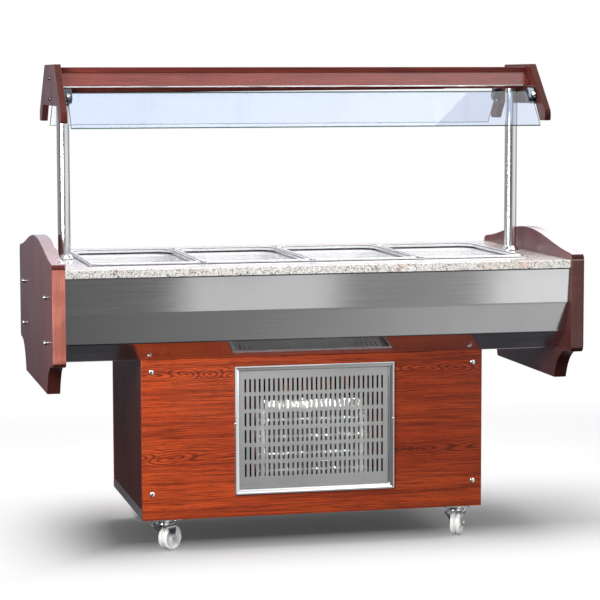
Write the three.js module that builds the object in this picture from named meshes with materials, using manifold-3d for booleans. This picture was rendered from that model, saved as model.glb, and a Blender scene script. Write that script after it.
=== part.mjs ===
// Refrigerated buffet trolley: a cold well with four lift-out pans between two wooden end panels,
// a wooden machine cabinet on four swivel casters below it, and a canopy with two tilting glass
// panes on two posts above it. Millimetres, +Z up, origin on the floor under the middle.
// +X runs along the length to the right, and the vented side of the cabinet faces -Y.
import * as THREE from 'three';
import { mergeVertices } from 'three/addons/utils/BufferGeometryUtils.js';
import Module from 'manifold-3d';

const wasm = await Module();
wasm.setup();

// ---------------------------------------------------------------- driving dimensions
const GAP = 0.3;
const DEG = Math.PI / 180;

const WHEEL_RADIUS = 37.5;
const WHEEL_WIDTH = 31;
const CASTER_TRAIL = 28;
const CASTER_X = 450;
const CASTER_Y = 248;

const CABINET_HALF_LENGTH = 519;
const CABINET_HALF_DEPTH = 290;
const CABINET_BOTTOM = 101;
const CABINET_TOP = 577;
const PLINTH_TOP = 129;
const BOARD = 18;

const GRILLE_HALF_WIDTH = 244;
const GRILLE_BOTTOM = 166;
const GRILLE_TOP = 550;
const GRILLE_BORDER = 16;
const SLOT_COLUMNS = 30;
const SLOT_ROWS = 6;
const SLOT_PITCH_X = 14.4;
const SLOT_PITCH_Z = 50.5;
const SLOT_WIDTH = 5;
const SLOT_HEIGHT = 40;
const SLOT_RISE = 5.5;

const PANEL_INNER_X = 754;
const PANEL_THICKNESS = 39;
const PANEL_HALF_DEPTH = 425;
const PANEL_CREST = 926;
const PANEL_SHOULDER = 873;
const PANEL_SHELF = 577;
const PANEL_BOTTOM = 484;
const NUT_RADIUS = 7;
const NUT_HEIGHT = 11;
const NUT_Y = 284;
const NUT_LEVELS = [634.7, 765.5];

const WORKTOP_TOP = 853;
const WORKTOP_BOTTOM = 829;
const WORKTOP_HALF_DEPTH = 415;

const PAN_PITCH = 330;
const PAN_COUNT = 4;
const PAN_LENGTH = 530;
const PAN_WIDTH = 325;
const PAN_DEPTH = 100;
const FRAME_TOP = 856;

const POST_X = 703;
const POST_RADIUS = 19;

const GABLE_INNER_X = POST_X + POST_RADIUS + GAP;
const GABLE_THICKNESS = 19;
const CANOPY_TOP = 1434.6;
const ROOF_TOP = 1426;
const ROOF_BOTTOM = 1409.5;
const ROOF_HALF_DEPTH = 83;
const FASCIA_BOTTOM = 1371;

const PANE_TILT = 42 * DEG;
const PANE_PIVOT_Y = 170;
const PANE_PIVOT_Z = 1345;
const PANE_THICKNESS = 5;

const CONTROL_X = 350;
const CONTROL_Z = 462;

// ---------------------------------------------------------------- materials
function material(color, roughness, metalness) {
  return new THREE.MeshStandardMaterial({ color, roughness, metalness });
}

const WOOD = material(0xa2452c, 0.35, 0);
const DARK_WOOD = material(0x4a2724, 0.35, 0);
const STEEL = material(0xa9abab, 0.3, 1);
const CHROME = material(0xd8dadc, 0.1, 1);
const GALVANISED = material(0x9ba0a2, 0.45, 1);
const ALUMINIUM = material(0xb9bcbe, 0.4, 1);
const COPPER = material(0xb8704a, 0.35, 1);
const GRANITE = material(0xb5aaa2, 0.25, 0);
const NYLON = material(0xeeeeec, 0.4, 0);
const BLACK_PLASTIC = material(0x202122, 0.5, 0);
const BLACK_PAINT = material(0x18191a, 0.4, 0);
const GREY_PAINT = material(0x55575a, 0.5, 0);
const FOAM = material(0xe3d6a8, 0.9, 0);
const LAMP_GLASS = material(0xf6f6f0, 0.3, 0);
const GLASS = new THREE.MeshStandardMaterial({
  color: 0xcfe3e6, roughness: 0.05, metalness: 0, transparent: true, opacity: 0.35,
});

// ---------------------------------------------------------------- helpers
const trolley = new THREE.Group();

function addMesh(name, geometry, look, parent = trolley) {
  const mesh = new THREE.Mesh(geometry, look);
  mesh.name = name;
  parent.add(mesh);
  return mesh;
}

function signedVolume(positions, index) {
  const a = new THREE.Vector3();
  const b = new THREE.Vector3();
  const c = new THREE.Vector3();
  let volume = 0;
  for (let i = 0; i < index.length; i += 3) {
    a.fromArray(positions, 3 * index[i]);
    b.fromArray(positions, 3 * index[i + 1]);
    c.fromArray(positions, 3 * index[i + 2]);
    volume += a.dot(b.cross(c)) / 6;
  }
  return volume;
}

// Shared vertices are merged, collapsed triangles dropped and the faces turned outward.
function closed(geometry) {
  const plain = geometry.clone();
  plain.deleteAttribute('normal');
  plain.deleteAttribute('uv');
  const welded = mergeVertices(plain, 1e-4);
  const positions = welded.attributes.position.array;
  let index = [];
  for (let i = 0; i < welded.index.count; i += 3) {
    const corners = [0, 1, 2].map((k) => welded.index.getX(i + k));
    if (new Set(corners).size === 3) {
      index.push(...corners);
    }
  }
  if (signedVolume(positions, index) < 0) {
    index = index.reverse();
  }
  welded.setIndex(index);
  return welded;
}

function toSolid(geometry) {
  const welded = closed(geometry);
  const vertProperties = new Float32Array(welded.attributes.position.array);
  const triVerts = new Uint32Array(welded.index.array);
  return new wasm.Manifold(new wasm.Mesh({ numProp: 3, vertProperties, triVerts }));
}

function toGeometry(solid) {
  const mesh = solid.getMesh();
  const geometry = new THREE.BufferGeometry();
  geometry.setAttribute('position', new THREE.BufferAttribute(mesh.vertProperties, 3));
  geometry.setIndex(new THREE.BufferAttribute(mesh.triVerts, 1));
  return geometry;
}

function join(...geometries) {
  return toGeometry(geometries.map(toSolid).reduce((sum, part) => sum.add(part)));
}

function cut(geometry, ...tools) {
  return toGeometry(tools.map(toSolid).reduce((rest, tool) => rest.subtract(tool), toSolid(geometry)));
}

// A box given by its low and high corners.
function block(low, high) {
  const size = high.map((value, i) => value - low[i]);
  const centre = high.map((value, i) => (value + low[i]) / 2);
  return new THREE.BoxGeometry(...size).translate(...centre);
}

// A (Y, Z) outline pushed along +X from x0 to x1.
function alongX(shape, x0, x1, curveSegments = 6) {
  const geometry = new THREE.ExtrudeGeometry(shape, { depth: x1 - x0, bevelEnabled: false, curveSegments });
  const turn = new THREE.Matrix4().makeBasis(
    new THREE.Vector3(0, 1, 0), new THREE.Vector3(0, 0, 1), new THREE.Vector3(1, 0, 0),
  );
  return geometry.applyMatrix4(turn).translate(x0, 0, 0);
}

// An (X, Z) outline pushed along +Y from y0 to y1.
function alongY(shape, y0, y1, curveSegments = 6) {
  const geometry = new THREE.ExtrudeGeometry(shape, { depth: y1 - y0, bevelEnabled: false, curveSegments });
  return geometry.rotateX(Math.PI / 2).translate(0, y1, 0);
}

// An (X, Y) outline pushed along +Z from z0 to z1.
function alongZ(shape, z0, z1, curveSegments = 6) {
  const geometry = new THREE.ExtrudeGeometry(shape, { depth: z1 - z0, bevelEnabled: false, curveSegments });
  return geometry.translate(0, 0, z0);
}

function polygon(points) {
  return new THREE.Shape(points.map(([u, v]) => new THREE.Vector2(u, v)));
}

function rectangle(u0, v0, u1, v1) {
  return polygon([[u0, v0], [u1, v0], [u1, v1], [u0, v1]]);
}

function roundedRectangle(halfU, halfV, radius) {
  const shape = new THREE.Shape();
  shape.moveTo(halfU, -halfV + radius);
  shape.lineTo(halfU, halfV - radius);
  shape.absarc(halfU - radius, halfV - radius, radius, 0, Math.PI / 2);
  shape.lineTo(-halfU + radius, halfV);
  shape.absarc(-halfU + radius, halfV - radius, radius, Math.PI / 2, Math.PI);
  shape.lineTo(-halfU, -halfV + radius);
  shape.absarc(-halfU + radius, -halfV + radius, radius, Math.PI, 1.5 * Math.PI);
  shape.lineTo(halfU - radius, -halfV);
  shape.absarc(halfU - radius, -halfV + radius, radius, 1.5 * Math.PI, 2 * Math.PI);
  return shape;
}

// An outline of (radius, height) pairs turned about Z.
function turned(points, segments = 24) {
  const profile = points.map(([r, z]) => new THREE.Vector2(r, z));
  return closed(new THREE.LatheGeometry(profile, segments).rotateX(Math.PI / 2));
}

function rod(radius, z0, z1, segments = 16) {
  return turned([[0, z0], [radius, z0], [radius, z1], [0, z1]], segments);
}

// A round bar or tube bent through the given points, with straight runs kept straight.
function bentRod(points, radius, sides, steps) {
  const path = new THREE.CatmullRomCurve3(points.map((p) => new THREE.Vector3(...p)), false, 'centripetal');
  const section = new THREE.Shape();
  section.absarc(0, 0, radius, 0, 2 * Math.PI);
  const options = { steps, extrudePath: path, bevelEnabled: false, curveSegments: sides };
  return closed(new THREE.ExtrudeGeometry(section, options));
}

// ---------------------------------------------------------------- cabinet
function buildCabinet() {
  const x = CABINET_HALF_LENGTH;
  const y = CABINET_HALF_DEPTH;
  const inside = y - BOARD;
  const traySides = inside - GAP;
  const top = CABINET_TOP - GAP;

  // Base tray: a floor with side rails that show as the band under the side panels.
  const tray = cut(
    block([-x, -traySides, CABINET_BOTTOM], [x, traySides, PLINTH_TOP]),
    block([-x + BOARD, -traySides + 3, CABINET_BOTTOM + 3], [x - BOARD, traySides - 3, PLINTH_TOP + 1]),
  );
  addMesh('base_tray', tray, GREY_PAINT);

  const holeX = GRILLE_HALF_WIDTH - GRILLE_BORDER + 4;
  const grilleHole = block(
    [-holeX, -y - 1, GRILLE_BOTTOM + GRILLE_BORDER - 4],
    [holeX, -inside + 1, GRILLE_TOP - GRILLE_BORDER + 4],
  );
  addMesh('front_panel', cut(block([-x, -y, CABINET_BOTTOM], [x, -inside, top]), grilleHole), WOOD);

  // Rear panel with a row of louvre slots that let the warm air out.
  const rearHoles = [block([CONTROL_X - 55, inside - 1, CONTROL_Z - 35], [CONTROL_X + 55, y + 1, CONTROL_Z + 35])];
  for (let row = 0; row < 5; row += 1) {
    const z = 200 + 28 * row;
    rearHoles.push(block([-130, inside - 1, z], [130, y + 1, z + 12]));
  }
  addMesh('rear_panel', cut(block([-x, inside, CABINET_BOTTOM], [x, y, top]), ...rearHoles), WOOD);

  for (const [side, sign] of [['left', -1], ['right', 1]]) {
    const panel = block([-BOARD / 2, -traySides, PLINTH_TOP + GAP], [BOARD / 2, traySides, top]);
    addMesh(`side_panel_${side}`, panel, DARK_WOOD).position.x = sign * (x - BOARD / 2);
  }
}

function buildGrille() {
  const y = CABINET_HALF_DEPTH;
  const halfHeight = (GRILLE_TOP - GRILLE_BOTTOM) / 2;
  const clearX = GRILLE_HALF_WIDTH - GRILLE_BORDER;
  const clearZ = halfHeight - GRILLE_BORDER;
  const centreZ = (GRILLE_TOP + GRILLE_BOTTOM) / 2;

  const flange = rectangle(-GRILLE_HALF_WIDTH, -halfHeight, GRILLE_HALF_WIDTH, halfHeight);
  flange.holes.push(rectangle(-clearX, -clearZ, clearX, clearZ));
  const sleeve = rectangle(-clearX - 3, -clearZ - 3, clearX + 3, clearZ + 3);
  sleeve.holes.push(rectangle(-clearX, -clearZ, clearX, clearZ));
  const frame = join(alongY(flange, -6, -GAP), alongY(sleeve, -1, 14));
  addMesh('grille_frame', frame, STEEL).position.set(0, -y, centreZ);

  // Perforated plate set back inside the frame.
  const slots = [];
  for (let column = 0; column < SLOT_COLUMNS; column += 1) {
    for (let row = 0; row < SLOT_ROWS; row += 1) {
      const u = (column - (SLOT_COLUMNS - 1) / 2) * SLOT_PITCH_X;
      const v = SLOT_RISE + (row - (SLOT_ROWS - 1) / 2) * SLOT_PITCH_Z;
      slots.push(block(
        [u - SLOT_WIDTH / 2, 5, v - SLOT_HEIGHT / 2],
        [u + SLOT_WIDTH / 2, 9, v + SLOT_HEIGHT / 2],
      ));
    }
  }
  const sheet = block([-clearX + GAP, 6, -clearZ + GAP], [clearX - GAP, 8, clearZ - GAP]);
  addMesh('grille_plate', cut(sheet, ...slots), STEEL).position.set(0, -y, centreZ);
}

// ---------------------------------------------------------------- controls on the rear panel
function buildControls() {
  const y = CABINET_HALF_DEPTH + GAP;
  const controls = new THREE.Group();
  controls.position.set(CONTROL_X, y, CONTROL_Z);
  trolley.add(controls);

  const switchHole = block([-42, -1, -11.5], [-28, 3, 11.5]);
  const spindleHole = rod(4.5, -1, 3, 12).rotateX(-Math.PI / 2).translate(25, 0, 0);
  addMesh('control_panel', cut(block([-70, 0, -50], [70, 2, 50]), switchHole, spindleHole), STEEL, controls);

  // Rocker, rocking on its short axis through the middle of the cut-out.
  const rocker = polygon([[6.5, -10], [4.5, 0], [2.5, 10], [-5, 10], [-5, -10]]);
  addMesh('power_switch', alongX(rocker, -6, 6), BLACK_PLASTIC, controls).position.set(-35, 1, 0);

  const skirt = turned([[0, 0], [19, 0], [17, 4], [12, 5], [11, 18], [0, 19]], 20);
  const spindle = rod(4, -12, 1, 12);
  const knob = join(skirt, spindle, block([-2, 6, 4], [2, 15, 17]));
  knob.rotateX(-Math.PI / 2);
  addMesh('thermostat_knob', knob, BLACK_PLASTIC, controls).position.set(25, 2 + GAP, 0);

  // Cable gland; the supply cord isn't part of the model.
  const gland = turned([[5, -6], [11, -6], [11, 6], [14, 6], [14, 14], [9, 26], [5, 26], [5, -6]], 12);
  gland.rotateX(-Math.PI / 2);
  const inlet = addMesh('power_inlet', gland, BLACK_PLASTIC);
  inlet.position.set(440, y + 6, 150);
}

// ---------------------------------------------------------------- refrigeration set
const COIL_HALF_WIDTH = 158;
const COIL_BOTTOM = 185;
const COIL_TOP = 440;
const COIL_FRONT = -258;
const COIL_BACK = -200;
const FAN_Z = 312;

function buildCondenser() {
  const fins = COIL_HALF_WIDTH - 6;
  const front = COIL_FRONT;
  const back = COIL_BACK;
  const outline = polygon([
    [-COIL_HALF_WIDTH, front], [-fins, front], [-fins, front + 6], [fins, front + 6],
    [fins, front], [COIL_HALF_WIDTH, front], [COIL_HALF_WIDTH, back], [-COIL_HALF_WIDTH, back],
  ]);
  addMesh('condenser_coil', alongZ(outline, COIL_BOTTOM, COIL_TOP), ALUMINIUM);

  const shroudOutline = rectangle(-COIL_HALF_WIDTH, COIL_BOTTOM, COIL_HALF_WIDTH, COIL_TOP);
  const ring = new THREE.Path();
  ring.absarc(0, FAN_Z, 112, 0, 2 * Math.PI);
  shroudOutline.holes.push(ring);
  const shroud = join(
    alongY(shroudOutline, COIL_BACK + GAP, COIL_BACK + 4),
    block([-COIL_HALF_WIDTH, COIL_BACK + GAP, CABINET_BOTTOM + 3 + GAP], [-40, COIL_BACK + 4, COIL_BOTTOM + 1]),
    block([40, COIL_BACK + GAP, CABINET_BOTTOM + 3 + GAP], [COIL_HALF_WIDTH, COIL_BACK + 4, COIL_BOTTOM + 1]),
  );
  addMesh('fan_shroud', shroud, GALVANISED);

  // Fan and motor share one axis along Y through the ring.
  const fan = new THREE.Group();
  fan.position.set(0, COIL_BACK + 14, FAN_Z);
  trolley.add(fan);
  let blades = turned([[0, -8], [26, -8], [30, -4], [30, 10], [0, 10]], 18).rotateX(-Math.PI / 2);
  for (let i = 0; i < 4; i += 1) {
    const blade = block([-26, -1, 24], [26, 1, 104]).rotateZ(24 * DEG).rotateY(i * 90 * DEG);
    blades = join(blades, blade);
  }
  addMesh('condenser_fan', blades, ALUMINIUM, fan);

  const motorBody = rod(38, 16, 78, 18).rotateX(-Math.PI / 2);
  const arms = [0, 1].map((i) => (
    block([-150, 60, -6], [150, 66, 6]).rotateY((45 - 90 * i) * DEG * 0.8)
  ));
  const feet = [[-1, -1], [-1, 1], [1, -1], [1, 1]].map(([sx, sz]) => {
    const angle = 36 * DEG;
    const fx = sx * 143 * Math.cos(angle);
    const fz = sz * 143 * Math.sin(angle);
    return block([fx - 6, -9.5, fz - 6], [fx + 6, 64, fz + 6]);
  });
  addMesh('fan_motor', join(motorBody, ...arms, ...feet), GREY_PAINT, fan);
}

function buildCompressor() {
  const floor = CABINET_BOTTOM + 3 + GAP;
  const shell = turned([
    [0, 30], [60, 30], [78, 52], [80, 110], [84, 118], [80, 126], [76, 165], [52, 192], [0, 198],
  ], 24);
  const plinth = block([-95, -75, 14], [95, 75, 32]);
  const feet = [[-1, -1], [-1, 1], [1, -1], [1, 1]].map(([sx, sy]) => (
    rod(14, 0, 15, 12).translate(sx * 76, sy * 58, 0)
  ));
  const relayBox = block([70, -28, 70], [108, 28, 130]);
  const compressor = join(shell, plinth, relayBox, ...feet);
  addMesh('compressor', compressor, BLACK_PAINT).position.set(-290, 30, floor);

  const discharge = bentRod([
    [-290, 30, 303], [-290, 30, 345], [-290, -20, 370], [-285, -160, 375],
    [-270, -225, 380], [-240, -232, 395], [-190, -232, 405], [-159, -232, 405],
  ], 4, 4, 18);
  addMesh('discharge_line', discharge, COPPER);

  // Filter drier, brazed into the line that leaves the condenser.
  const liquid = bentRod([
    [159, -232, 215], [185, -230, 215], [205, -190, 222], [210, -60, 235], [210, -40, 250], [210, -40, 258],
  ], 4, 4, 12);
  const drier = turned([[0, -75], [5, -75], [5, -62], [15, -50], [15, 50], [5, 62], [5, 75], [0, 75]], 16);
  addMesh('filter_drier', join(liquid, drier.translate(210, -40, 330)), COPPER);
}

// ---------------------------------------------------------------- cold well
const HULL = [
  [-412, WORKTOP_BOTTOM - GAP], [-405, 725], [-370, 635], [-291, CABINET_TOP],
];
const WELL_HALF_LENGTH = 662;
const WELL_HALF_DEPTH = 272;
const WELL_BOTTOM = 690;
const DRAIN_X = 560;
const DRAIN_Y = 170;

// Half outline of the hull, moved inward by a distance, and the mirrored half after it.
function hullOutline(inset) {
  const slope = (i) => {
    const [y0, z0] = HULL[i];
    const [y1, z1] = HULL[i + 1];
    const length = Math.hypot(y1 - y0, z1 - z0);
    return { y: -(z1 - z0) / length, z: (y1 - y0) / length };
  };
  const half = HULL.map(([y, z], i) => {
    const a = slope(Math.max(i - 1, 0));
    const b = slope(Math.min(i, HULL.length - 2));
    const scale = inset / (1 + a.y * b.y + a.z * b.z);
    return [y + (a.y + b.y) * scale, z + (a.z + b.z) * scale];
  });
  half[0][1] = HULL[0][1];
  half[half.length - 1][1] = CABINET_TOP + inset;
  return half;
}

// The half outline followed by its mirror image: front top, bottom, rear top.
function bothHalves(half) {
  return [...half, ...half.map(([y, z]) => [-y, z]).reverse()];
}

function buildWell() {
  const endX = PANEL_INNER_X - GAP;
  const linerX = WELL_HALF_LENGTH;
  const linerY = WELL_HALF_DEPTH;
  const drainHole = rod(16, CABINET_TOP - 10, WELL_BOTTOM + 10, 16).translate(DRAIN_X, DRAIN_Y, 0);
  const lineHole = block([-330, 60, CABINET_TOP - 10], [-230, 130, WELL_BOTTOM + 10]);

  // Folded sheet hull, open at the ends where the wooden panels close it.
  const section = polygon([...bothHalves(hullOutline(0)), ...bothHalves(hullOutline(2)).reverse()]);
  addMesh('tub_shell', cut(alongX(section, -endX, endX), drainHole, lineHole), STEEL);

  // Foam between the hull and the liner.
  const foam = cut(
    alongX(polygon(bothHalves(hullOutline(2 + GAP))), -endX, endX),
    block([-linerX - GAP, -linerY - GAP, WELL_BOTTOM - GAP], [linerX + GAP, linerY + GAP, WORKTOP_TOP]),
    drainHole,
    lineHole,
  );
  addMesh('well_insulation', foam, FOAM);

  const liner = cut(
    block([-linerX, -linerY, WELL_BOTTOM], [linerX, linerY, WORKTOP_BOTTOM - GAP]),
    block([-linerX + 2, -linerY + 2, WELL_BOTTOM + 2], [linerX - 2, linerY - 2, WORKTOP_TOP]),
    drainHole,
    lineHole,
  );
  addMesh('well_liner', liner, STEEL);

  // Finned evaporator with a plate at each end, lying on the liner's floor.
  const end = 560;
  const evaporator = join(
    block([-end, -90, WELL_BOTTOM + 14], [end, 90, WELL_BOTTOM + 50]),
    block([-end - 3, -100, WELL_BOTTOM + 2 + GAP], [-end + 1, 100, WELL_BOTTOM + 54]),
    block([end - 1, -100, WELL_BOTTOM + 2 + GAP], [end + 3, 100, WELL_BOTTOM + 54]),
  );
  addMesh('evaporator', evaporator, ALUMINIUM);

  const suction = bentRod([
    [-250, 95, 304], [-250, 95, 360], [-262, 95, 480], [-280, 95, 600],
    [-280, 96, 690], [-280, 100, 716], [-280, 112, 724], [-300, 116, 724], [-400, 116, 724],
  ], 6, 4, 24);
  addMesh('suction_line', suction, COPPER);
}

function buildDrain() {
  const top = WELL_BOTTOM - GAP;
  const pipe = turned([[9, 540], [12, 540], [12, top], [9, top], [9, 540]], 16);
  const valve = turned([[9, 500], [17, 500], [17, 512], [20, 516], [20, 532], [17, 536], [17, 545], [9, 545],
    [9, 500]], 16);
  const stem = rod(6, 16, 34, 12).rotateX(-Math.PI / 2).translate(0, 0, 524);
  const body = addMesh('drain_valve', join(pipe, valve, stem), STEEL);
  body.position.set(DRAIN_X, DRAIN_Y, 0);

  const boss = rod(9, 0, 8, 12);
  const lever = block([-7, -5, 2], [7, 70, 6]);
  const handle = join(boss, lever).rotateX(-Math.PI / 2);
  addMesh('drain_handle', handle, BLACK_PLASTIC).position.set(DRAIN_X, DRAIN_Y + 34 + GAP, 524);
}

// ---------------------------------------------------------------- worktop and pans
function buildWorktop() {
  const x = PANEL_INNER_X - GAP;
  const y = WORKTOP_HALF_DEPTH;
  const cutX = PAN_COUNT * PAN_PITCH / 2 - 6;
  const cutY = PAN_LENGTH / 2 + 1;
  const slab = block([-x, -y, WORKTOP_BOTTOM], [x, y, WORKTOP_TOP]);
  const hole = block([-cutX, -cutY, WORKTOP_BOTTOM - 1], [cutX, cutY, WORKTOP_TOP + 1]);
  addMesh('worktop', cut(slab, hole), GRANITE);

  // Frame over the cut-out, with a bar between each pair of pans and a lip down inside the stone.
  const flange = block([-cutX - 12, -cutY - 10, WORKTOP_TOP + GAP], [cutX + 12, cutY + 10, FRAME_TOP]);
  const lip = block([-cutX + GAP, -cutY + GAP, WORKTOP_TOP - 20], [cutX - GAP, cutY - GAP, FRAME_TOP - 1]);
  const lipInside = block([-cutX + 2, -cutY + 2, WORKTOP_TOP - 21], [cutX - 2, cutY - 2, WORKTOP_TOP + GAP]);
  const openX = PAN_WIDTH / 2 - 7;
  const openY = PAN_LENGTH / 2 - 7;
  const openings = [];
  for (let i = 0; i < PAN_COUNT; i += 1) {
    const centre = (i - (PAN_COUNT - 1) / 2) * PAN_PITCH;
    openings.push(block([centre - openX, -openY, WORKTOP_TOP - 2], [centre + openX, openY, FRAME_TOP + 1]));
  }
  addMesh('pan_frame', cut(join(flange, lip), lipInside, ...openings), STEEL);

  for (let i = 0; i < PAN_COUNT; i += 1) {
    const pan = addMesh(`pan_${i + 1}`, panGeometry(), STEEL);
    pan.position.set((i - (PAN_COUNT - 1) / 2) * PAN_PITCH, 0, FRAME_TOP + GAP);
  }
}

// A deep pan hanging by its rim; z = 0 is the underside of the rim.
function panGeometry() {
  const wall = 1.5;
  const halfX = PAN_WIDTH / 2 - 10;
  const halfY = PAN_LENGTH / 2 - 10;
  const radius = 48;
  const rim = alongZ(roundedRectangle(PAN_WIDTH / 2, PAN_LENGTH / 2, 28), 0, 2.5, 3);
  const body = alongZ(roundedRectangle(halfX, halfY, radius), -PAN_DEPTH, 1, 4);
  const inside = roundedRectangle(halfX - wall, halfY - wall, radius - wall);
  return cut(join(rim, body), alongZ(inside, -PAN_DEPTH + wall, 10, 4));
}

// ---------------------------------------------------------------- end panels
function endPanelOutline() {
  const y = PANEL_HALF_DEPTH;
  const shape = new THREE.Shape();
  shape.moveTo(-275, PANEL_BOTTOM);
  shape.lineTo(275, PANEL_BOTTOM);
  shape.quadraticCurveTo(305, 572, 385, PANEL_SHELF);
  shape.lineTo(y - 20, PANEL_SHELF);
  shape.quadraticCurveTo(y, PANEL_SHELF, y, PANEL_SHELF + 22);
  shape.lineTo(y, PANEL_SHOULDER - 22);
  shape.quadraticCurveTo(y, PANEL_SHOULDER - 1, y - 25, PANEL_SHOULDER);
  shape.bezierCurveTo(250, 886, 150, PANEL_CREST, 0, PANEL_CREST);
  shape.bezierCurveTo(-150, PANEL_CREST, -250, 886, -y + 25, PANEL_SHOULDER);
  shape.quadraticCurveTo(-y, PANEL_SHOULDER - 1, -y, PANEL_SHOULDER - 22);
  shape.lineTo(-y, PANEL_SHELF + 22);
  shape.quadraticCurveTo(-y, PANEL_SHELF, -y + 20, PANEL_SHELF);
  shape.lineTo(-385, PANEL_SHELF);
  shape.quadraticCurveTo(-305, 572, -275, PANEL_BOTTOM);
  return shape;
}

// The cap nuts on the four bolts that hold an end panel, on its outer face.
function capNuts(sign) {
  const face = sign * PANEL_THICKNESS / 2;
  const profile = [
    [0, -1], [NUT_RADIUS, -1], [NUT_RADIUS, 5], [NUT_RADIUS * 0.86, 8], [NUT_RADIUS * 0.5, 10.2],
    [0, NUT_HEIGHT],
  ];
  const nuts = [];
  for (const y of [-NUT_Y, NUT_Y]) {
    for (const z of NUT_LEVELS) {
      nuts.push(turned(profile, 12).rotateY(sign * Math.PI / 2).translate(face, y, z));
    }
  }
  return nuts;
}

function buildEndPanels() {
  for (const [side, sign] of [['left', -1], ['right', 1]]) {
    const board = alongX(endPanelOutline(), -PANEL_THICKNESS / 2, PANEL_THICKNESS / 2, 8);
    const panel = join(board, ...capNuts(sign));
    const mesh = addMesh(`end_panel_${side}`, panel, WOOD);
    mesh.position.x = sign * (PANEL_INNER_X + PANEL_THICKNESS / 2);
  }
}

// ---------------------------------------------------------------- posts and canopy
function buildPosts() {
  const foot = WORKTOP_TOP + GAP;
  const top = ROOF_BOTTOM - GAP;
  const inner = POST_RADIUS - 1.5;
  const profile = [
    [inner, foot], [28, foot], [28, foot + 3], [26, foot + 8], [22, foot + 12],
    [POST_RADIUS, foot + 14], [POST_RADIUS, top], [inner, top], [inner, foot],
  ];
  for (const [side, sign] of [['left', -1], ['right', 1]]) {
    addMesh(`post_${side}`, turned(profile, 24), STEEL).position.x = sign * POST_X;
  }
}

function gableOutline() {
  const half = [
    [122, CANOPY_TOP], [258, 1298.6], [264, 1289], [265, 1277], [261, 1264], [214, 1264], [176, 1313],
  ];
  return polygon([...half.map(([y, z]) => [-y, z]), ...half.slice().reverse()]);
}

function buildCanopy() {
  const gableX = GABLE_INNER_X;
  for (const [side, sign] of [['left', -1], ['right', 1]]) {
    const gable = alongX(gableOutline(), -GABLE_THICKNESS / 2, GABLE_THICKNESS / 2);
    addMesh(`gable_${side}`, gable, WOOD).position.x = sign * (gableX + GABLE_THICKNESS / 2);
  }

  const x = gableX - GAP;
  const roof = block([-x, -ROOF_HALF_DEPTH, ROOF_BOTTOM], [x, ROOF_HALF_DEPTH, ROOF_TOP]);
  addMesh('canopy_roof', roof, WOOD);

  // Sloping boards under the roof's long edges.
  const top = ROOF_BOTTOM - GAP;
  const run = top - FASCIA_BOTTOM;
  const outerTop = ROOF_HALF_DEPTH + 1;
  const board = 16 / Math.SQRT2;
  const outerBottom = outerTop + run;
  const section = [
    [outerTop, top], [outerBottom, FASCIA_BOTTOM],
    [outerBottom - board, FASCIA_BOTTOM - board], [outerTop - 2 * board, top],
  ];
  addMesh('fascia_front', alongX(polygon(section.map(([y, z]) => [-y, z])), -x, x), WOOD);
  addMesh('fascia_rear', alongX(polygon(section), -x, x), WOOD);

  // Lamp housing: an inverted channel between the posts, with a tube lamp inside it.
  const lampX = POST_X - 28;
  const channel = polygon([
    [-56, top], [56, top], [88, 1364], [85, 1364], [53, top - 3], [-53, top - 3], [-85, 1364], [-88, 1364],
  ]);
  addMesh('lamp_housing', alongX(channel, -lampX, lampX), GALVANISED);
  const tube = join(
    rod(13, -lampX + 40, lampX - 40, 16).rotateY(90 * DEG).translate(0, 0, 1381),
    block([-lampX + 34, -9, 1368], [-lampX + 48, 9, top - 3 - GAP]),
    block([lampX - 48, -9, 1368], [lampX - 34, 9, top - 3 - GAP]),
  );
  addMesh('lamp_tube', tube, LAMP_GLASS);
}

// Each glass pane hangs from two clamps and tilts with them about the clamps' pivots.
function buildPanes() {
  for (const [side, sign] of [['front', -1], ['rear', 1]]) {
    const pane = new THREE.Group();
    pane.position.set(0, sign * PANE_PIVOT_Y, PANE_PIVOT_Z);
    pane.rotation.x = sign * PANE_TILT;
    trolley.add(pane);

    const halfLength = GABLE_INNER_X - 11;
    const halfThickness = PANE_THICKNESS / 2;
    const sheet = block([-halfLength, -halfThickness, -130], [halfLength, halfThickness, 8]);
    addMesh(`glass_${side}`, sheet, GLASS, pane);

    for (const [end, endSign] of [['left', -1], ['right', 1]]) {
      const clampWidth = 24;
      const centreX = endSign * (GABLE_INNER_X - GAP - clampWidth / 2);
      const jaw = new THREE.Shape();
      const slot = halfThickness + GAP;
      jaw.moveTo(-slot, -24);
      jaw.lineTo(-slot, 8 + GAP);
      jaw.lineTo(slot, 8 + GAP);
      jaw.lineTo(slot, -24);
      jaw.lineTo(11, -24);
      jaw.lineTo(13, 6);
      jaw.absarc(0, 8, 13, 0, Math.PI);
      jaw.lineTo(-13, 6);
      jaw.lineTo(-11, -24);
      jaw.closePath();
      const clamp = alongX(jaw, -clampWidth / 2, clampWidth / 2, 6);
      addMesh(`clamp_${side}_${end}`, clamp, CHROME, pane).position.x = centreX;
    }
  }
}

// ---------------------------------------------------------------- casters
const CASTERS = [
  { corner: 'front_left', x: -CASTER_X, y: -CASTER_Y, heading: 40 },
  { corner: 'front_right', x: CASTER_X, y: -CASTER_Y, heading: 63 },
  { corner: 'rear_left', x: -CASTER_X, y: CASTER_Y, heading: 52 },
  { corner: 'rear_right', x: CASTER_X, y: CASTER_Y, heading: 75 },
];

// Front view of the fork, from the foot of one leg up to its crown: half width and height.
const FORK_ARCH = [[17.8, 28], [17.8, 46], [19.6, 56], [24.4, 68], [26.4, 76], [24.6, 81.5]];
const FORK_SHEET = 2.5;

// Side view of the fork: height, middle and half length of the sheet there, along the trail.
const FORK_SIDE = [[28, 28, 8], [37.5, 28, 11], [50, 20, 12], [66, 8, 17], [78, 1, 22], [90, 0, 24]];

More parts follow.
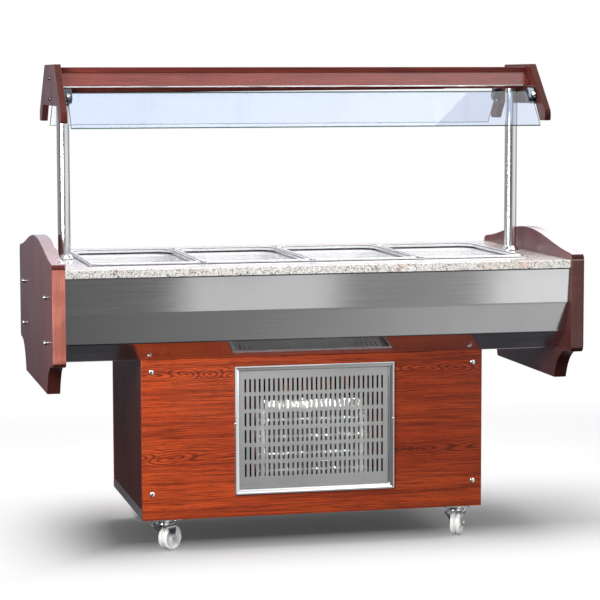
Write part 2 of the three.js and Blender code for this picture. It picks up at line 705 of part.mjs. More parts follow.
function forkSide(z) {
  const next = Math.max(1, FORK_SIDE.findIndex(([height]) => height >= z));
  const [z0, middle0, half0] = FORK_SIDE[next - 1];
  const [z1, middle1, half1] = FORK_SIDE[next];
  const t = (z - z0) / (z1 - z0);
  return { middle: middle0 + t * (middle1 - middle0), half: half0 + t * (half1 - half0) };
}

// The fork is an arch of sheet over the swivel pin that trails its wheel along its own +X.
function forkGeometry() {
  const inside = [...FORK_ARCH, ...FORK_ARCH.map(([y, z]) => [-y, z]).reverse()];
  const outside = inside.map(([y, z]) => [y + Math.sign(y) * FORK_SHEET, z > 80 ? z + FORK_SHEET : z]);
  const arch = alongX(polygon([...inside, ...outside.reverse()]), -1, 1);
  const place = arch.attributes.position;
  for (let i = 0; i < place.count; i += 1) {
    const { middle, half } = forkSide(place.getZ(i));
    place.setX(i, middle + place.getX(i) * half);
  }
  const reach = FORK_ARCH[0][0] + FORK_SHEET;
  const axle = rod(4, -reach - 3, reach + 3, 12).rotateX(-Math.PI / 2);
  return join(
    arch,
    turned([[0, 82], [23, 82], [21, 88.5], [5, 88.5], [5, 96], [0, 96]], 20),
    axle.translate(CASTER_TRAIL, 0, WHEEL_RADIUS),
  );
}

function wheelGeometry() {
  const half = WHEEL_WIDTH / 2;
  const r = WHEEL_RADIUS;
  return turned([
    [4 + GAP, -half], [14, -half], [16, -half + 3], [28, -half + 3], [30, -half], [r - 1, -half],
    [r, -half + 2], [r, -3], [r - 4, 0], [r, 3], [r, half - 2],
    [r - 1, half], [30, half], [28, half - 3], [16, half - 3], [14, half], [4 + GAP, half], [4 + GAP, -half],
  ], 20);
}

function buildCasters() {
  const plateTop = CABINET_BOTTOM - GAP;
  for (const caster of CASTERS) {
    const mount = new THREE.Group();
    mount.position.set(caster.x, caster.y, 0);
    trolley.add(mount);
    const housing = turned([[5 + GAP, 89], [20, 89], [24, 92], [24, 98.5], [5 + GAP, 98.5], [5 + GAP, 89]], 20);
    const plateOutline = rectangle(-45, -38, 45, 38);
    const pinHole = new THREE.Path();
    pinHole.absarc(0, 0, 5 + GAP, 0, 2 * Math.PI);
    plateOutline.holes.push(pinHole);
    const plate = join(housing, alongZ(plateOutline, 97.5, plateTop, 10));
    addMesh(`caster_plate_${caster.corner}`, plate, CHROME, mount);

    const swivel = new THREE.Group();
    swivel.rotation.z = caster.heading * DEG;
    mount.add(swivel);
    addMesh(`caster_fork_${caster.corner}`, forkGeometry(), CHROME, swivel);
    const wheel = addMesh(`caster_wheel_${caster.corner}`, wheelGeometry(), NYLON, swivel);
    wheel.position.set(CASTER_TRAIL, 0, WHEEL_RADIUS);
    wheel.rotation.x = -Math.PI / 2;
  }
}

buildCabinet();
buildGrille();
buildControls();
buildCondenser();
buildCompressor();
buildWell();
buildDrain();
buildWorktop();
buildEndPanels();
buildPosts();
buildCanopy();
buildPanes();
buildCasters();

export default trolley;
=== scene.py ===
"""Looks for the refrigerated buffet trolley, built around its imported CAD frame.

Sizes are in metres. Profiles of turned pieces and the tables marked so are in millimetres.
"""

import math

import bpy
import bmesh
from mathutils import Matrix, Vector


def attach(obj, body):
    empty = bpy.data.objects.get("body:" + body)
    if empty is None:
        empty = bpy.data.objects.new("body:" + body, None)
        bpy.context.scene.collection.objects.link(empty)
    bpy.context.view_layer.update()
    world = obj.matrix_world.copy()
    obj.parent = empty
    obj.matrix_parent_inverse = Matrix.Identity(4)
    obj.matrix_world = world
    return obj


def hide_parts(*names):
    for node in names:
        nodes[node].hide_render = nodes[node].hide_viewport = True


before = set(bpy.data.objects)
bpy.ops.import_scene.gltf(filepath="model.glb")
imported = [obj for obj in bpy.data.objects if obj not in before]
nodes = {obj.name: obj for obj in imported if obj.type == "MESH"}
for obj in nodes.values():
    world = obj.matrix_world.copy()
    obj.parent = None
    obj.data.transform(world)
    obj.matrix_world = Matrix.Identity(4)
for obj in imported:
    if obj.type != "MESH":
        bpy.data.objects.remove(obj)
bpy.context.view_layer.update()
MM = 0.001
LEFT_RIGHT = (("left", -1), ("right", 1))
FRONT_REAR = (("front", -1), ("rear", 1))
FOUR_WAYS = [(sx, sy) for sx in (-1, 1) for sy in (-1, 1)]
show = bpy.context.scene.collection.objects.link


# ---------------- node graphs
class Graph:
    """A node tree with short calls for the nodes that the materials use."""

    def __init__(self, tree):
        self.tree = tree
        tree.nodes.clear()

    def put(self, socket, value):
        if isinstance(value, bpy.types.NodeSocket):
            self.tree.links.new(value, socket)
        else:
            socket.default_value = value

    def node(self, kind, inputs=None, **settings):
        made = self.tree.nodes.new(kind)
        for key, value in settings.items():
            setattr(made, key, value)
        for key, value in (inputs or {}).items():
            self.put(made.inputs[key], value)
        return made

    def math(self, operation, a, b=0):
        return self.node("ShaderNodeMath", {0: a, 1: b}, operation=operation).outputs[0]

    def times(self, a, b):
        return self.math("MULTIPLY", a, b)

    def plus(self, a, b):
        return self.math("ADD", a, b)

    def most(self, a, b):
        return self.math("MAXIMUM", a, b)

    def vector(self, operation, a, b):
        return self.node("ShaderNodeVectorMath", {0: a, 1: b}, operation=operation).outputs[0]

    def position(self):
        return self.node("ShaderNodeTexCoord").outputs["Object"]

    def axes(self, vector):
        return self.node("ShaderNodeSeparateXYZ", {0: vector}).outputs

    def channel(self, colour, index):
        return self.node("ShaderNodeSeparateColor", {0: colour}).outputs[index]

    def rgb(self, red, green, blue):
        return self.node("ShaderNodeCombineColor", {0: red, 1: green, 2: blue}).outputs[0]

    def scaled(self, vector, scale):
        return self.vector("MULTIPLY", vector, scale)

    def noise(self, vector, scale, detail, roughness=0.55):
        inputs = {"Vector": vector, "Scale": scale, "Detail": detail, "Roughness": roughness}
        return self.node("ShaderNodeTexNoise", inputs).outputs["Fac"]

    def cells(self, vector, scale):
        return self.node("ShaderNodeTexVoronoi", {"Vector": vector, "Scale": scale}).outputs["Color"]

    def fit(self, value, low, high, to_low=0, to_high=1):
        inputs = {0: value, 1: low, 2: high, 3: to_low, 4: to_high}
        return self.node("ShaderNodeMapRange", inputs).outputs[0]

    def ramp(self, value, *stops):
        made = self.node("ShaderNodeValToRGB", {0: value})
        points = made.color_ramp.elements
        while len(points) < len(stops):
            points.new(0.5)
        for point, (place, colour) in zip(points, stops):
            point.position = place
            point.color = (*colour, 1)
        return made.outputs[0]

    def mix(self, amount, a, b):
        made = self.node("ShaderNodeMix", data_type="RGBA")
        self.put(made.inputs[0], amount)
        self.put(made.inputs[6], a if isinstance(a, bpy.types.NodeSocket) else (*a, 1))
        self.put(made.inputs[7], b if isinstance(b, bpy.types.NodeSocket) else (*b, 1))
        return made.outputs[2]

    def bump(self, height, depth, strength):
        inputs = {"Height": height, "Distance": depth, "Strength": strength}
        return self.node("ShaderNodeBump", inputs).outputs[0]


def material(name, colour, roughness, normal=None, **sockets):
    """A Principled material. Its colour, roughness and normal come as functions of its graph."""
    made = bpy.data.materials.new(name)
    made.use_nodes = True
    graph = Graph(made.node_tree)
    surface = graph.node("ShaderNodeBsdfPrincipled")
    output = graph.node("ShaderNodeOutputMaterial")
    graph.put(output.inputs["Surface"], surface.outputs[0])
    graph.put(surface.inputs["Base Color"], colour(graph))
    graph.put(surface.inputs["Roughness"], roughness(graph))
    if normal:
        graph.put(surface.inputs["Normal"], normal(graph))
    for key, value in sockets.items():
        surface.inputs[key.replace("_", " ")].default_value = value
    return made


def mottled(scale, detail, low, high, full=0.7, rough=0.55):
    """A gloss that drifts with noise between two values."""
    return lambda g: g.fit(g.noise(g.position(), scale, detail, rough), 0.3, full, low, high)


def textured(scale, depth, strength=0.3, detail=2):
    """A fine relief made of noise."""
    return lambda g: g.bump(g.noise(g.position(), scale, detail), depth, strength)


def shades(tint, *factors):
    """Lighter or darker versions of a colour."""
    return [tuple(min(1, v * factor) for v in tint) for factor in factors]


# ---------------- wood
def grain_space(g, along):
    """Object coordinates turned so that the grain runs along the first axis."""
    x, y, z = g.axes(g.position())
    order = {"X": (x, z, y), "Z": (z, y, x), "Y": (y, z, x)}[along]
    return g.node("ShaderNodeCombineXYZ", dict(enumerate(order))).outputs[0]


def rings(g, space, spacing, shift, row):
    """Arched growth lines: long narrow eyes in rows, with nearly straight lines between them."""
    wander = g.noise(g.scaled(space, (1.6, 4, 1)), 1, 2)
    wobble = g.noise(g.scaled(space, (14, 60, 3)), 1, 3)
    along, across, _ = g.axes(space)
    along = g.plus(along, g.times(wander, 0.9))
    across = g.plus(across, g.times(wander, 0.05))
    across = g.plus(across, g.times(wobble, 0.008))
    across = g.math("PINGPONG", g.plus(across, shift), row)
    along = g.times(g.math("PINGPONG", along, 0.065), 0.22)
    squares = g.plus(g.times(across, across), g.times(along, along))
    radius = g.math("SQRT", squares)
    lines = g.math("SINE", g.times(radius, 2 * math.pi / spacing))
    near = g.fit(across, 0.01, 0.04, 1, 0.35)
    return g.times(g.fit(lines, -0.2, 0.9), near)


def laminate(name, along, light, middle, dark, gloss=0.3, contrast=1, sheen=0.35, coat=0.12):
    """Mahogany laminate: arched growth lines, fine fibres and short dark pores under a clear skin."""

    def colour(g):
        space = grain_space(g, along)

        def grain(stretch, detail, low, high, share, rough=0.55):
            return g.fit(g.noise(g.scaled(space, stretch), 1, detail, rough), low, high, 0, share * contrast)

        patches = g.noise(g.scaled(space, (2.2, 7, 5)), 1, 3)
        base = g.mix(g.fit(patches, 0.32, 0.7), middle, light)
        for amount in (
            grain((1.4, 110, 20), 3, 0.45, 0.7, 0.55, 0.6),
            g.times(rings(g, space, 0.0064, 0.181, 0.123), 0.75 * contrast),
            grain((9, 260, 260), 3, 0.46, 0.66, 0.65, 0.6),
            grain((0.8, 38, 5), 2, 0.64, 0.74, 0.45),
            grain((34, 520, 520), 2, 0.6, 0.7, 0.7),
        ):
            base = g.mix(amount, base, dark)
        return base

    def normal(g):
        space = grain_space(g, along)
        fibres = g.noise(g.scaled(space, (14, 520, 520)), 1, 3)
        return g.bump(fibres, 0.00025, 0.15)

    smears = mottled(6, 4, gloss - 0.05, gloss + 0.08, 0.75)
    return material(name, colour, smears, normal, Coat_Weight=coat, Coat_Roughness=0.12,
                    Specular_IOR_Level=sheen)


FRONT_WOOD = laminate(
    "laminate_front", "X", (0.66, 0.094, 0.02), (0.47, 0.056, 0.013), (0.085, 0.01, 0.005),
    sheen=0.28, coat=0.1)
BOARD_WOOD = laminate(
    "laminate_boards", "X", (0.195, 0.034, 0.025), (0.13, 0.021, 0.016), (0.044, 0.009, 0.007),
    gloss=0.24, sheen=0.38, coat=0)
PANEL_WOOD = laminate(
    "laminate_panels", "Z", (0.15, 0.04, 0.036), (0.105, 0.028, 0.026), (0.05, 0.013, 0.013),
    contrast=0.5, sheen=0.5)
GABLE_WOOD = laminate(
    "laminate_gables", "Z", (0.115, 0.028, 0.024), (0.08, 0.019, 0.017), (0.04, 0.01, 0.01),
    contrast=0.5, sheen=0.25, coat=0)
PANEL_EDGE = laminate(
    "laminate_panel_edges", "Z", (0.46, 0.165, 0.125), (0.34, 0.11, 0.085), (0.13, 0.03, 0.02),
    contrast=0.6)
# A light band on a narrow strip of the right panel's edge, where the shoulder rounding meets the flat: a
# painted highlight line.
HIGHLIGHT_LINE_WOOD = laminate(
    "laminate_painted_highlight_line", "Y", (0.36, 0.24, 0.24), (0.3, 0.19, 0.19), (0.16, 0.09, 0.09),
    contrast=0.4)
# A darker copy of the panel edge, used on the right end panel: painted shade where less light reaches that
# side.
SHADED_EDGE_WOOD = laminate(
    "laminate_edges_painted_shade", "Z", (0.22, 0.095, 0.085), (0.16, 0.07, 0.062), (0.06, 0.022, 0.02),
    contrast=0.5, sheen=0.2, coat=0)
# A lighter, glossier copy for the flat tops of the end panels: a painted highlight on the crests.
LIT_CREST_WOOD = laminate(
    "laminate_crests_painted_highlight", "Y", (0.4, 0.27, 0.28), (0.32, 0.21, 0.22), (0.14, 0.07, 0.07),
    contrast=0.5, gloss=0.22, sheen=0.6, coat=1)
DARK_WOOD = laminate(
    "laminate_sides", "Z", (0.08, 0.021, 0.016), (0.052, 0.013, 0.01), (0.03, 0.008, 0.007),
    contrast=0.6, sheen=0.06, coat=0)


# ---------------- metals
def steel(name, tint, along, low, high, depth=0.00003, metal=1):
    """Brushed sheet: fine streaks along one axis, with smudges that change how sharply it reflects."""
    along_scale, across_scale = 3, 700
    stretch = [along_scale if axis == along else across_scale for axis in "XYZ"]

    def streaky(g, scale, detail, streak_share, cloud_share):
        streak = g.noise(g.scaled(g.position(), stretch), 1, 3)
        cloud = g.noise(g.position(), scale, detail)
        return g.plus(g.times(streak, streak_share), g.times(cloud, cloud_share))

    def colour(g):
        return g.mix(g.fit(streaky(g, 3.5, 3, 0.1, 0.1), 0.06, 0.14), *shades(tint, 0.9, 1.06))

    def roughness(g):
        return g.fit(streaky(g, 9, 4, 0.6, 0.4), 0.35, 0.65, low, high)

    def normal(g):
        return g.bump(g.noise(g.scaled(g.position(), stretch), 1, 2), depth, 0.35)

    return material(name, colour, roughness, normal, Metallic=metal)


BRUSHED = steel("brushed_steel", (0.58, 0.58, 0.59), "X", 0.1, 0.18)
SATIN = steel("satin_steel", (0.62, 0.62, 0.62), "X", 0.28, 0.4)
POLISHED = steel("polished_steel", (0.84, 0.84, 0.85), "X", 0.07, 0.14, 0.000004)
UPRIGHT = steel("polished_tube", (0.89, 0.89, 0.89), "Z", 0.12, 0.22, 0.000006)
CHROME = steel("chrome", (0.8, 0.81, 0.82), "Z", 0.04, 0.1, 0.000002)
NUT_CHROME = steel("nut_chrome", (0.52, 0.53, 0.55), "Z", 0.1, 0.18, 0.000002)
DARK_CHROME = steel("dark_chrome", (0.14, 0.16, 0.18), "Z", 0.08, 0.16, 0.000002)
PAN_STEEL = steel("drawn_steel", (0.94, 0.94, 0.94), "Y", 0.22, 0.32, 0.000006, metal=0.2)
BAR_STEEL = steel("bar_steel", (0.34, 0.34, 0.35), "Y", 0.1, 0.2, 0.000004)
# Dark steel for the bends under the pans' rims: a painted shadow line.
SHADOW_LINE_STEEL = steel("pan_shadow_line_steel", (0.16, 0.16, 0.17), "Y", 0.2, 0.3, 0.000006)
FINS = steel("fin_aluminium", (0.8, 0.81, 0.82), "Z", 0.25, 0.38)


def zinc_flakes(g):
    grey = g.node("ShaderNodeRGBToBW", {0: g.cells(g.position(), 120)}).outputs[0]
    return g.ramp(grey, (0.15, (0.4, 0.42, 0.43)), (0.85, (0.58, 0.6, 0.61)))


def copper_stains(g):
    stain = g.noise(g.position(), 24, 5, 0.65)
    return g.ramp(stain, (0.3, (0.35, 0.13, 0.07)), (0.5, (0.74, 0.34, 0.2)), (0.7, (0.86, 0.48, 0.32)))


def painted(name, tint, gloss, peel=380, **sockets):
    """Paint or moulded plastic: slight colour drift, fine texture and scuffs in the gloss."""

    def colour(g):
        drift = g.noise(g.position(), 12, 4)
        light = tuple(v * 1.15 + 0.01 for v in tint)
        return g.mix(g.fit(drift, 0.3, 0.7), *shades(tint, 0.85), light)

    scuffs = mottled(55, 5, gloss - 0.08, gloss + 0.12, 0.75, 0.6)
    return material(name, colour, scuffs, textured(peel, 0.00008), **sockets)


GALVANISED = material("galvanised", zinc_flakes, mottled(40, 4, 0.32, 0.5),
                      textured(160, 0.0001, detail=3), Metallic=1)
COPPER = material("copper", copper_stains, mottled(60, 4, 0.2, 0.45), textured(300, 0.00005),
                  Metallic=1)
NYLON = painted("nylon", (0.82, 0.82, 0.8), 0.35, Subsurface_Weight=0.15, Subsurface_Scale=0.004)
BLACK_PLASTIC = painted("black_plastic", (0.025, 0.026, 0.028), 0.42)
BLACK_PAINT = painted("black_paint", (0.018, 0.018, 0.02), 0.3, 140, Coat_Weight=0.4)
GREY_PAINT = painted("grey_paint", (0.085, 0.088, 0.095), 0.45)
ZINC = painted("zinc_plate", (0.74, 0.75, 0.76), 0.42, Metallic=0.25)
FOAM = painted("rigid_foam", (0.72, 0.6, 0.32), 0.85, 220)
LAMP = painted("lamp_glass", (0.88, 0.88, 0.85), 0.22, 30)
WHITE_MARK = painted("white_marks", (0.75, 0.75, 0.73), 0.5)


def granite(g):
    """Polished stone: interlocking cream, grey and pink grains with small black mica flecks."""
    warp = g.times(g.noise(g.position(), 90, 2), 0.006)
    place = g.vector("ADD", g.position(), g.node("ShaderNodeCombineXYZ", {0: warp}).outputs[0])
    grains = g.cells(place, 260)
    stone = g.ramp(
        g.channel(grains, 0),
        (0, (0.88, 0.86, 0.82)),
        (0.35, (0.8, 0.78, 0.74)),
        (0.58, (0.7, 0.67, 0.63)),
        (0.7, (0.36, 0.35, 0.34)),
        (0.84, (0.93, 0.92, 0.89)),
    )
    # The pink feldspar lies in clouds, thinner towards the left end of the slab.
    warmth = g.fit(g.noise(g.position(), 7, 2), 0.5, 0.68)
    warmth = g.times(warmth, g.fit(g.axes(g.position())[0], -0.5, 0.3, 0.35, 1))
    pink = g.times(warmth, g.fit(g.channel(grains, 2), 0.45, 0.6, 0, 0.85))
    stone = g.mix(pink, stone, (0.8, 0.52, 0.38))
    clump = g.noise(g.position(), 60, 2)
    dark = g.plus(g.channel(g.cells(place, 430), 1), g.fit(clump, 0.3, 0.7, -0.18, 0.14))
    return g.mix(g.fit(dark, 0.86, 0.9), stone, (0.05, 0.048, 0.045))


def glass(name, tint, smooth, transmission):
    """Clear or edge-on glass with a faint film."""

    def colour(g):
        return g.mix(g.fit(g.noise(g.position(), 3, 3), 0.3, 0.7), tint, *shades(tint, 0.985))

    def roughness(g):
        return g.fit(g.noise(g.position(), 8, 5), 0.45, 0.8, smooth, smooth + 0.03)

    return material(name, colour, roughness, None, Transmission_Weight=transmission, IOR=1.45)


GRANITE = material("granite", granite, mottled(30, 4, 0.1, 0.2), textured(260, 0.00004, 0.25),
                   Coat_Weight=0.3, Coat_Roughness=0.04)
FRONT_GLASS = glass("front_glass", (0.63, 0.69, 0.84), 0, 1)
REAR_GLASS = glass("rear_glass", (0.91, 0.93, 0.97), 0, 1)
GLASS_EDGE = glass("pane_edge", (0.02, 0.09, 0.075), 0.08, 0.15)


# ---------------- mesh helpers
# Each matrix takes a plane's own U and V, and the way through it, to X, Y and Z.
X_WAY = Matrix(((0, 0, 1, 0), (1, 0, 0, 0), (0, 1, 0, 0), (0, 0, 0, 1)))
Y_WAY = Matrix(((1, 0, 0, 0), (0, 0, -1, 0), (0, 1, 0, 0), (0, 0, 0, 1)))
Z_WAY = Matrix.Identity(4)


def finish_piece(piece, looks, slot_name, body="chassis", smooth=30, node=None):
    """Gives a piece its materials and shading, lets it ride on a body, and puts it in a CAD node's place."""
    for look in looks if isinstance(looks, list) else [looks]:
        piece.data.materials.append(look)
    if smooth:
        for face in piece.data.polygons:
            face.use_smooth = True
        piece.data.set_sharp_from_angle(angle=math.radians(smooth))
        piece.modifiers.new("flat_faces_stay_flat", "WEIGHTED_NORMAL").keep_sharp = True
    show(piece)
    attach(piece, body)
    if node:
        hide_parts(node)
    return piece


def ease_edges(piece, width, steps=2, angle=35):
    bevel = piece.modifiers.new("eased_edges", "BEVEL")
    bevel.width = width
    bevel.segments = steps
    bevel.limit_method = "ANGLE"
    bevel.angle_limit = math.radians(angle)
    bevel.harden_normals = True


def thicken(piece, thickness):
    """Turns a surface into sheet metal, on its inner side."""
    wall = piece.modifiers.new("sheet", "SOLIDIFY")
    wall.thickness = thickness
    wall.offset = -1


def from_bmesh(name, shape, matrix=None, find_outside=True):
    if find_outside:
        bmesh.ops.recalc_face_normals(shape, faces=shape.faces)
    if matrix is not None:
        shape.transform(matrix)
    mesh = bpy.data.meshes.new(name)
    shape.to_mesh(mesh)
    shape.free()
    return bpy.data.objects.new(name, mesh)


def solid(name, shape, looks, slot_name, ease=None, **finish):
    """Makes a shape a finished piece, with eased edges where `ease` gives their width and steps."""
    piece = from_bmesh(name, shape)
    if ease:
        ease_edges(piece, *ease)
    return finish_piece(piece, looks, slot_name, **finish)


def baked_mesh(item):
    """The mesh that an object's curve or modifiers make. The object itself is taken away."""
    bpy.context.view_layer.update()
    mesh = bpy.data.meshes.new_from_object(item.evaluated_get(bpy.context.evaluated_depsgraph_get()))
    bpy.data.objects.remove(item)
    return mesh


def sheet(name, loops, low, high, ease, way=Z_WAY, ease_steps=2):
    """A flat plate with holes and eased edges. The outlines are closed; `way` turns their plane."""
    curve = bpy.data.curves.new(name + "_outline", "CURVE")
    curve.dimensions = "2D"
    curve.fill_mode = "BOTH"
    for loop in loops:
        spline = curve.splines.new("POLY")
        spline.points.add(len(loop) - 1)
        for point, (u, v) in zip(spline.points, loop):
            point.co = (u, v, 0, 1)
        spline.use_cyclic_u = True
    curve.extrude = (high - low) / 2 - ease
    curve.bevel_depth = ease
    curve.bevel_resolution = ease_steps
    curve.offset = -ease
    holder = bpy.data.objects.new(name + "_outline", curve)
    show(holder)
    mesh = baked_mesh(holder)
    bpy.data.curves.remove(curve)
    shape = bmesh.new()
    shape.from_mesh(mesh)
    bmesh.ops.remove_doubles(shape, verts=shape.verts, dist=1e-6)
    bpy.data.meshes.remove(mesh)
    return from_bmesh(name, shape, way @ Matrix.Translation((0, 0, (low + high) / 2)))


def span(sign, near, far):
    """The ends of a stretch on one side of the middle, lower one first."""
    return sorted((sign * near, sign * far))


def rectangle(u0, v0, u1, v1):
    return [(u0, v0), (u1, v0), (u1, v1), (u0, v1)]


def rounded(half_u, half_v, radius, steps=8, centre=(0, 0)):
    """A rectangle with round corners, counterclockwise from the right side."""
    points = []
    for su, sv, start in ((1, 1, 0), (-1, 1, 90), (-1, -1, 180), (1, -1, 270)):
        for i in range(steps + 1):
            a = math.radians(start + 90 * i / steps)
            u = centre[0] + su * (half_u - radius) + radius * math.cos(a)
            v = centre[1] + sv * (half_v - radius) + radius * math.sin(a)
            points.append((u, v))
    return points


def skin(shape, rows, closed=False):
    """Joins rows of equally many points with faces."""
    rows = [[shape.verts.new(p) for p in row] for row in rows]
    for lower, upper in zip(rows, rows[1:]):
        for i in range(len(lower) - (0 if closed else 1)):
            j = (i + 1) % len(lower)
            corners = (lower[i], lower[j], upper[j], upper[i])
            shape.faces.new(corners if closed else corners[::-1])
    return rows


def loft(shape, loops, close_start=True):
    """Skins closed loops one after another, and closes the last one."""
    rows = skin(shape, loops, True)
    if close_start:
        shape.faces.new(rows[0][::-1])
    shape.faces.new(rows[-1])


def turned(shape, profile, matrix, segments):
    """A (radius, height) profile in millimetres turned about local Z. A radius of 0 makes a point."""
    rows = []
    for radius, height in profile:
        ring = []
        for i in range(segments if radius else 1):
            a = 2 * math.pi * i / segments
            point = Vector((radius * MM * math.cos(a), radius * MM * math.sin(a), height * MM))
            ring.append(shape.verts.new(matrix @ point))
        rows.append(ring)
    for lower, upper in zip(rows, rows[1:]):
        for i in range(segments):
            j = (i + 1) % segments
            corners = [ring[k % len(ring)] for ring, k in ((lower, i), (lower, j), (upper, j), (upper, i))]
            unique = list(dict.fromkeys(corners))
            if len(unique) > 2:
                shape.faces.new(unique)


def block(shape, low, high, matrix=Z_WAY):
    """A box between two corners, added to a shape."""
    made = bmesh.ops.create_cube(shape, size=1)["verts"]
    size = Vector(high) - Vector(low)
    centre = (Vector(high) + Vector(low)) / 2
    for vert in made:
        vert.co = matrix @ Vector(centre + Vector(a * b for a, b in zip(vert.co, size)))


def boxes(name, rows, looks, slot_name, ease=None, **finish):
    """One piece made of boxes."""
    shape = bmesh.new()
    for row in rows:
        block(shape, *row)
    return solid(name, shape, looks, slot_name, ease, **finish)


def turnings(name, rows, looks, slot_name, **finish):
    """One piece made of turned profiles."""
    shape = bmesh.new()
    for row in rows:
        turned(shape, *row)
    solid(name, shape, looks, slot_name, **finish)


def prism(shape, outline, low, high):
    """An outline in the Y-Z plane pushed along X."""
    loft(shape, [[(x, y, z) for y, z in outline] for x in (low, high)])


def pipe(shape, points, radius, sides):
    """A round tube along points, closed at both ends."""
    path = [Vector(p) for p in points]
    rows = []
    side = Vector((0, 0, 1))
    for i, point in enumerate(path):
        ahead = (path[min(i + 1, len(path) - 1)] - path[max(i - 1, 0)]).normalized()
        if abs(ahead.dot(side)) > 0.95:
            side = Vector((1, 0, 0))
        side = (side - ahead * side.dot(ahead)).normalized()
        other = ahead.cross(side)
        ring = []
        for k in range(sides):
            a = 2 * math.pi * k / sides
            ring.append(point + radius * (side * math.cos(a) + other * math.sin(a)))
        rows.append(ring)
    loft(shape, rows)


def arc(centre, radius, start, end, steps, u, v):
    """Points on an arc in the plane of two directions, angles in degrees."""
    out = []
    for i in range(steps + 1):
        a = math.radians(start + (end - start) * i / steps)
        out.append(Vector(centre) + radius * (math.cos(a) * Vector(u) + math.sin(a) * Vector(v)))
    return out


def bezier(start, first, second, end, steps):
    out = []
    for i in range(1, steps + 1):
        t = i / steps
        s = 1 - t
        out.append(tuple(s ** 3 * a + 3 * s * s * t * b + 3 * s * t * t * c + t ** 3 * d
                         for a, b, c, d in zip(start, first, second, end)))
    return out


def bend(points, handle, end, steps):
    """Adds a curve from the last point to an end, pulled towards a handle."""
    first, second = (tuple(a + 2 / 3 * (h - a) for a, h in zip(tip, handle)) for tip in (points[-1], end))
    points += bezier(points[-1], first, second, end, steps)


def mirrored(half):
    """A half outline and its mirror image, joined on the middle line."""
    return half + [(-u, v) for u, v in half[-2:0:-1]]


# ---------------- camera, stage and light
def set_camera():
    data = bpy.data.cameras.new("camera")
    data.lens = 133.65
    data.sensor_width = 36
    data.clip_end = 200
    camera = bpy.data.objects.new("camera", data)
    show(camera)
    yaw, pitch, roll = (math.radians(v) for v in (13.15, -5.65, -0.13))
    forward = Vector((math.sin(yaw) * math.cos(pitch), math.cos(yaw) * math.cos(pitch), math.sin(pitch)))
    right = Vector((math.cos(yaw), -math.sin(yaw), 0))
    up = right.cross(forward)
    rolled_right = right * math.cos(roll) + up * math.sin(roll)
    rolled_up = up * math.cos(roll) - right * math.sin(roll)
    turn = Matrix((rolled_right, rolled_up, -forward)).transposed().to_4x4()
    camera.matrix_world = Matrix.Translation((-1.5325, -6.6605, 1.3883)) @ turn
    bpy.context.scene.camera = camera


def set_floor():
    """A pale floor that turns into the white of the backdrop away from the trolley."""
    shape = bmesh.new()
    bmesh.ops.create_grid(shape, x_segments=1, y_segments=1, size=30)
    floor = from_bmesh("floor", shape)
    look = bpy.data.materials.new("floor_paint")
    look.use_nodes = True
    g = Graph(look.node_tree)
    drift = g.fit(g.noise(g.position(), 0.6, 2), 0.3, 0.7)
    pale = g.mix(drift, (0.79, 0.79, 0.79), (0.81, 0.81, 0.81))
    path = g.node("ShaderNodeLightPath")
    seen = g.most(path.outputs["Is Camera Ray"], path.outputs["Is Transmission Ray"])
    diffuse = g.node("ShaderNodeBsdfDiffuse", {"Color": g.mix(seen, (0.24, 0.24, 0.24), pale)})
    lift = g.node("ShaderNodeEmission", {"Strength": g.fit(seen, 0, 1, 0, 0.045)})
    paint = g.node("ShaderNodeAddShader", {0: diffuse.outputs[0], 1: lift.outputs[0]})
    glow = g.node("ShaderNodeEmission", {"Strength": g.fit(seen, 0, 1, 0.1, 1)})
    spread = g.node("ShaderNodeVectorMath", {0: g.scaled(g.position(), (0.62, 1, 1))}, operation="LENGTH")
    x, y, _ = g.axes(g.position())
    away = g.most(g.fit(spread.outputs["Value"], 1.3, 2.6), g.fit(y, -0.1, -0.6))
    away = g.most(away, g.fit(x, -0.55, -0.98))
    surface = g.node("ShaderNodeMixShader", {0: away, 1: paint.outputs[0], 2: glow.outputs[0]})
    g.put(g.node("ShaderNodeOutputMaterial").inputs["Surface"], surface.outputs[0])
    floor.data.materials.append(look)
    floor.visible_glossy = False
    show(floor)


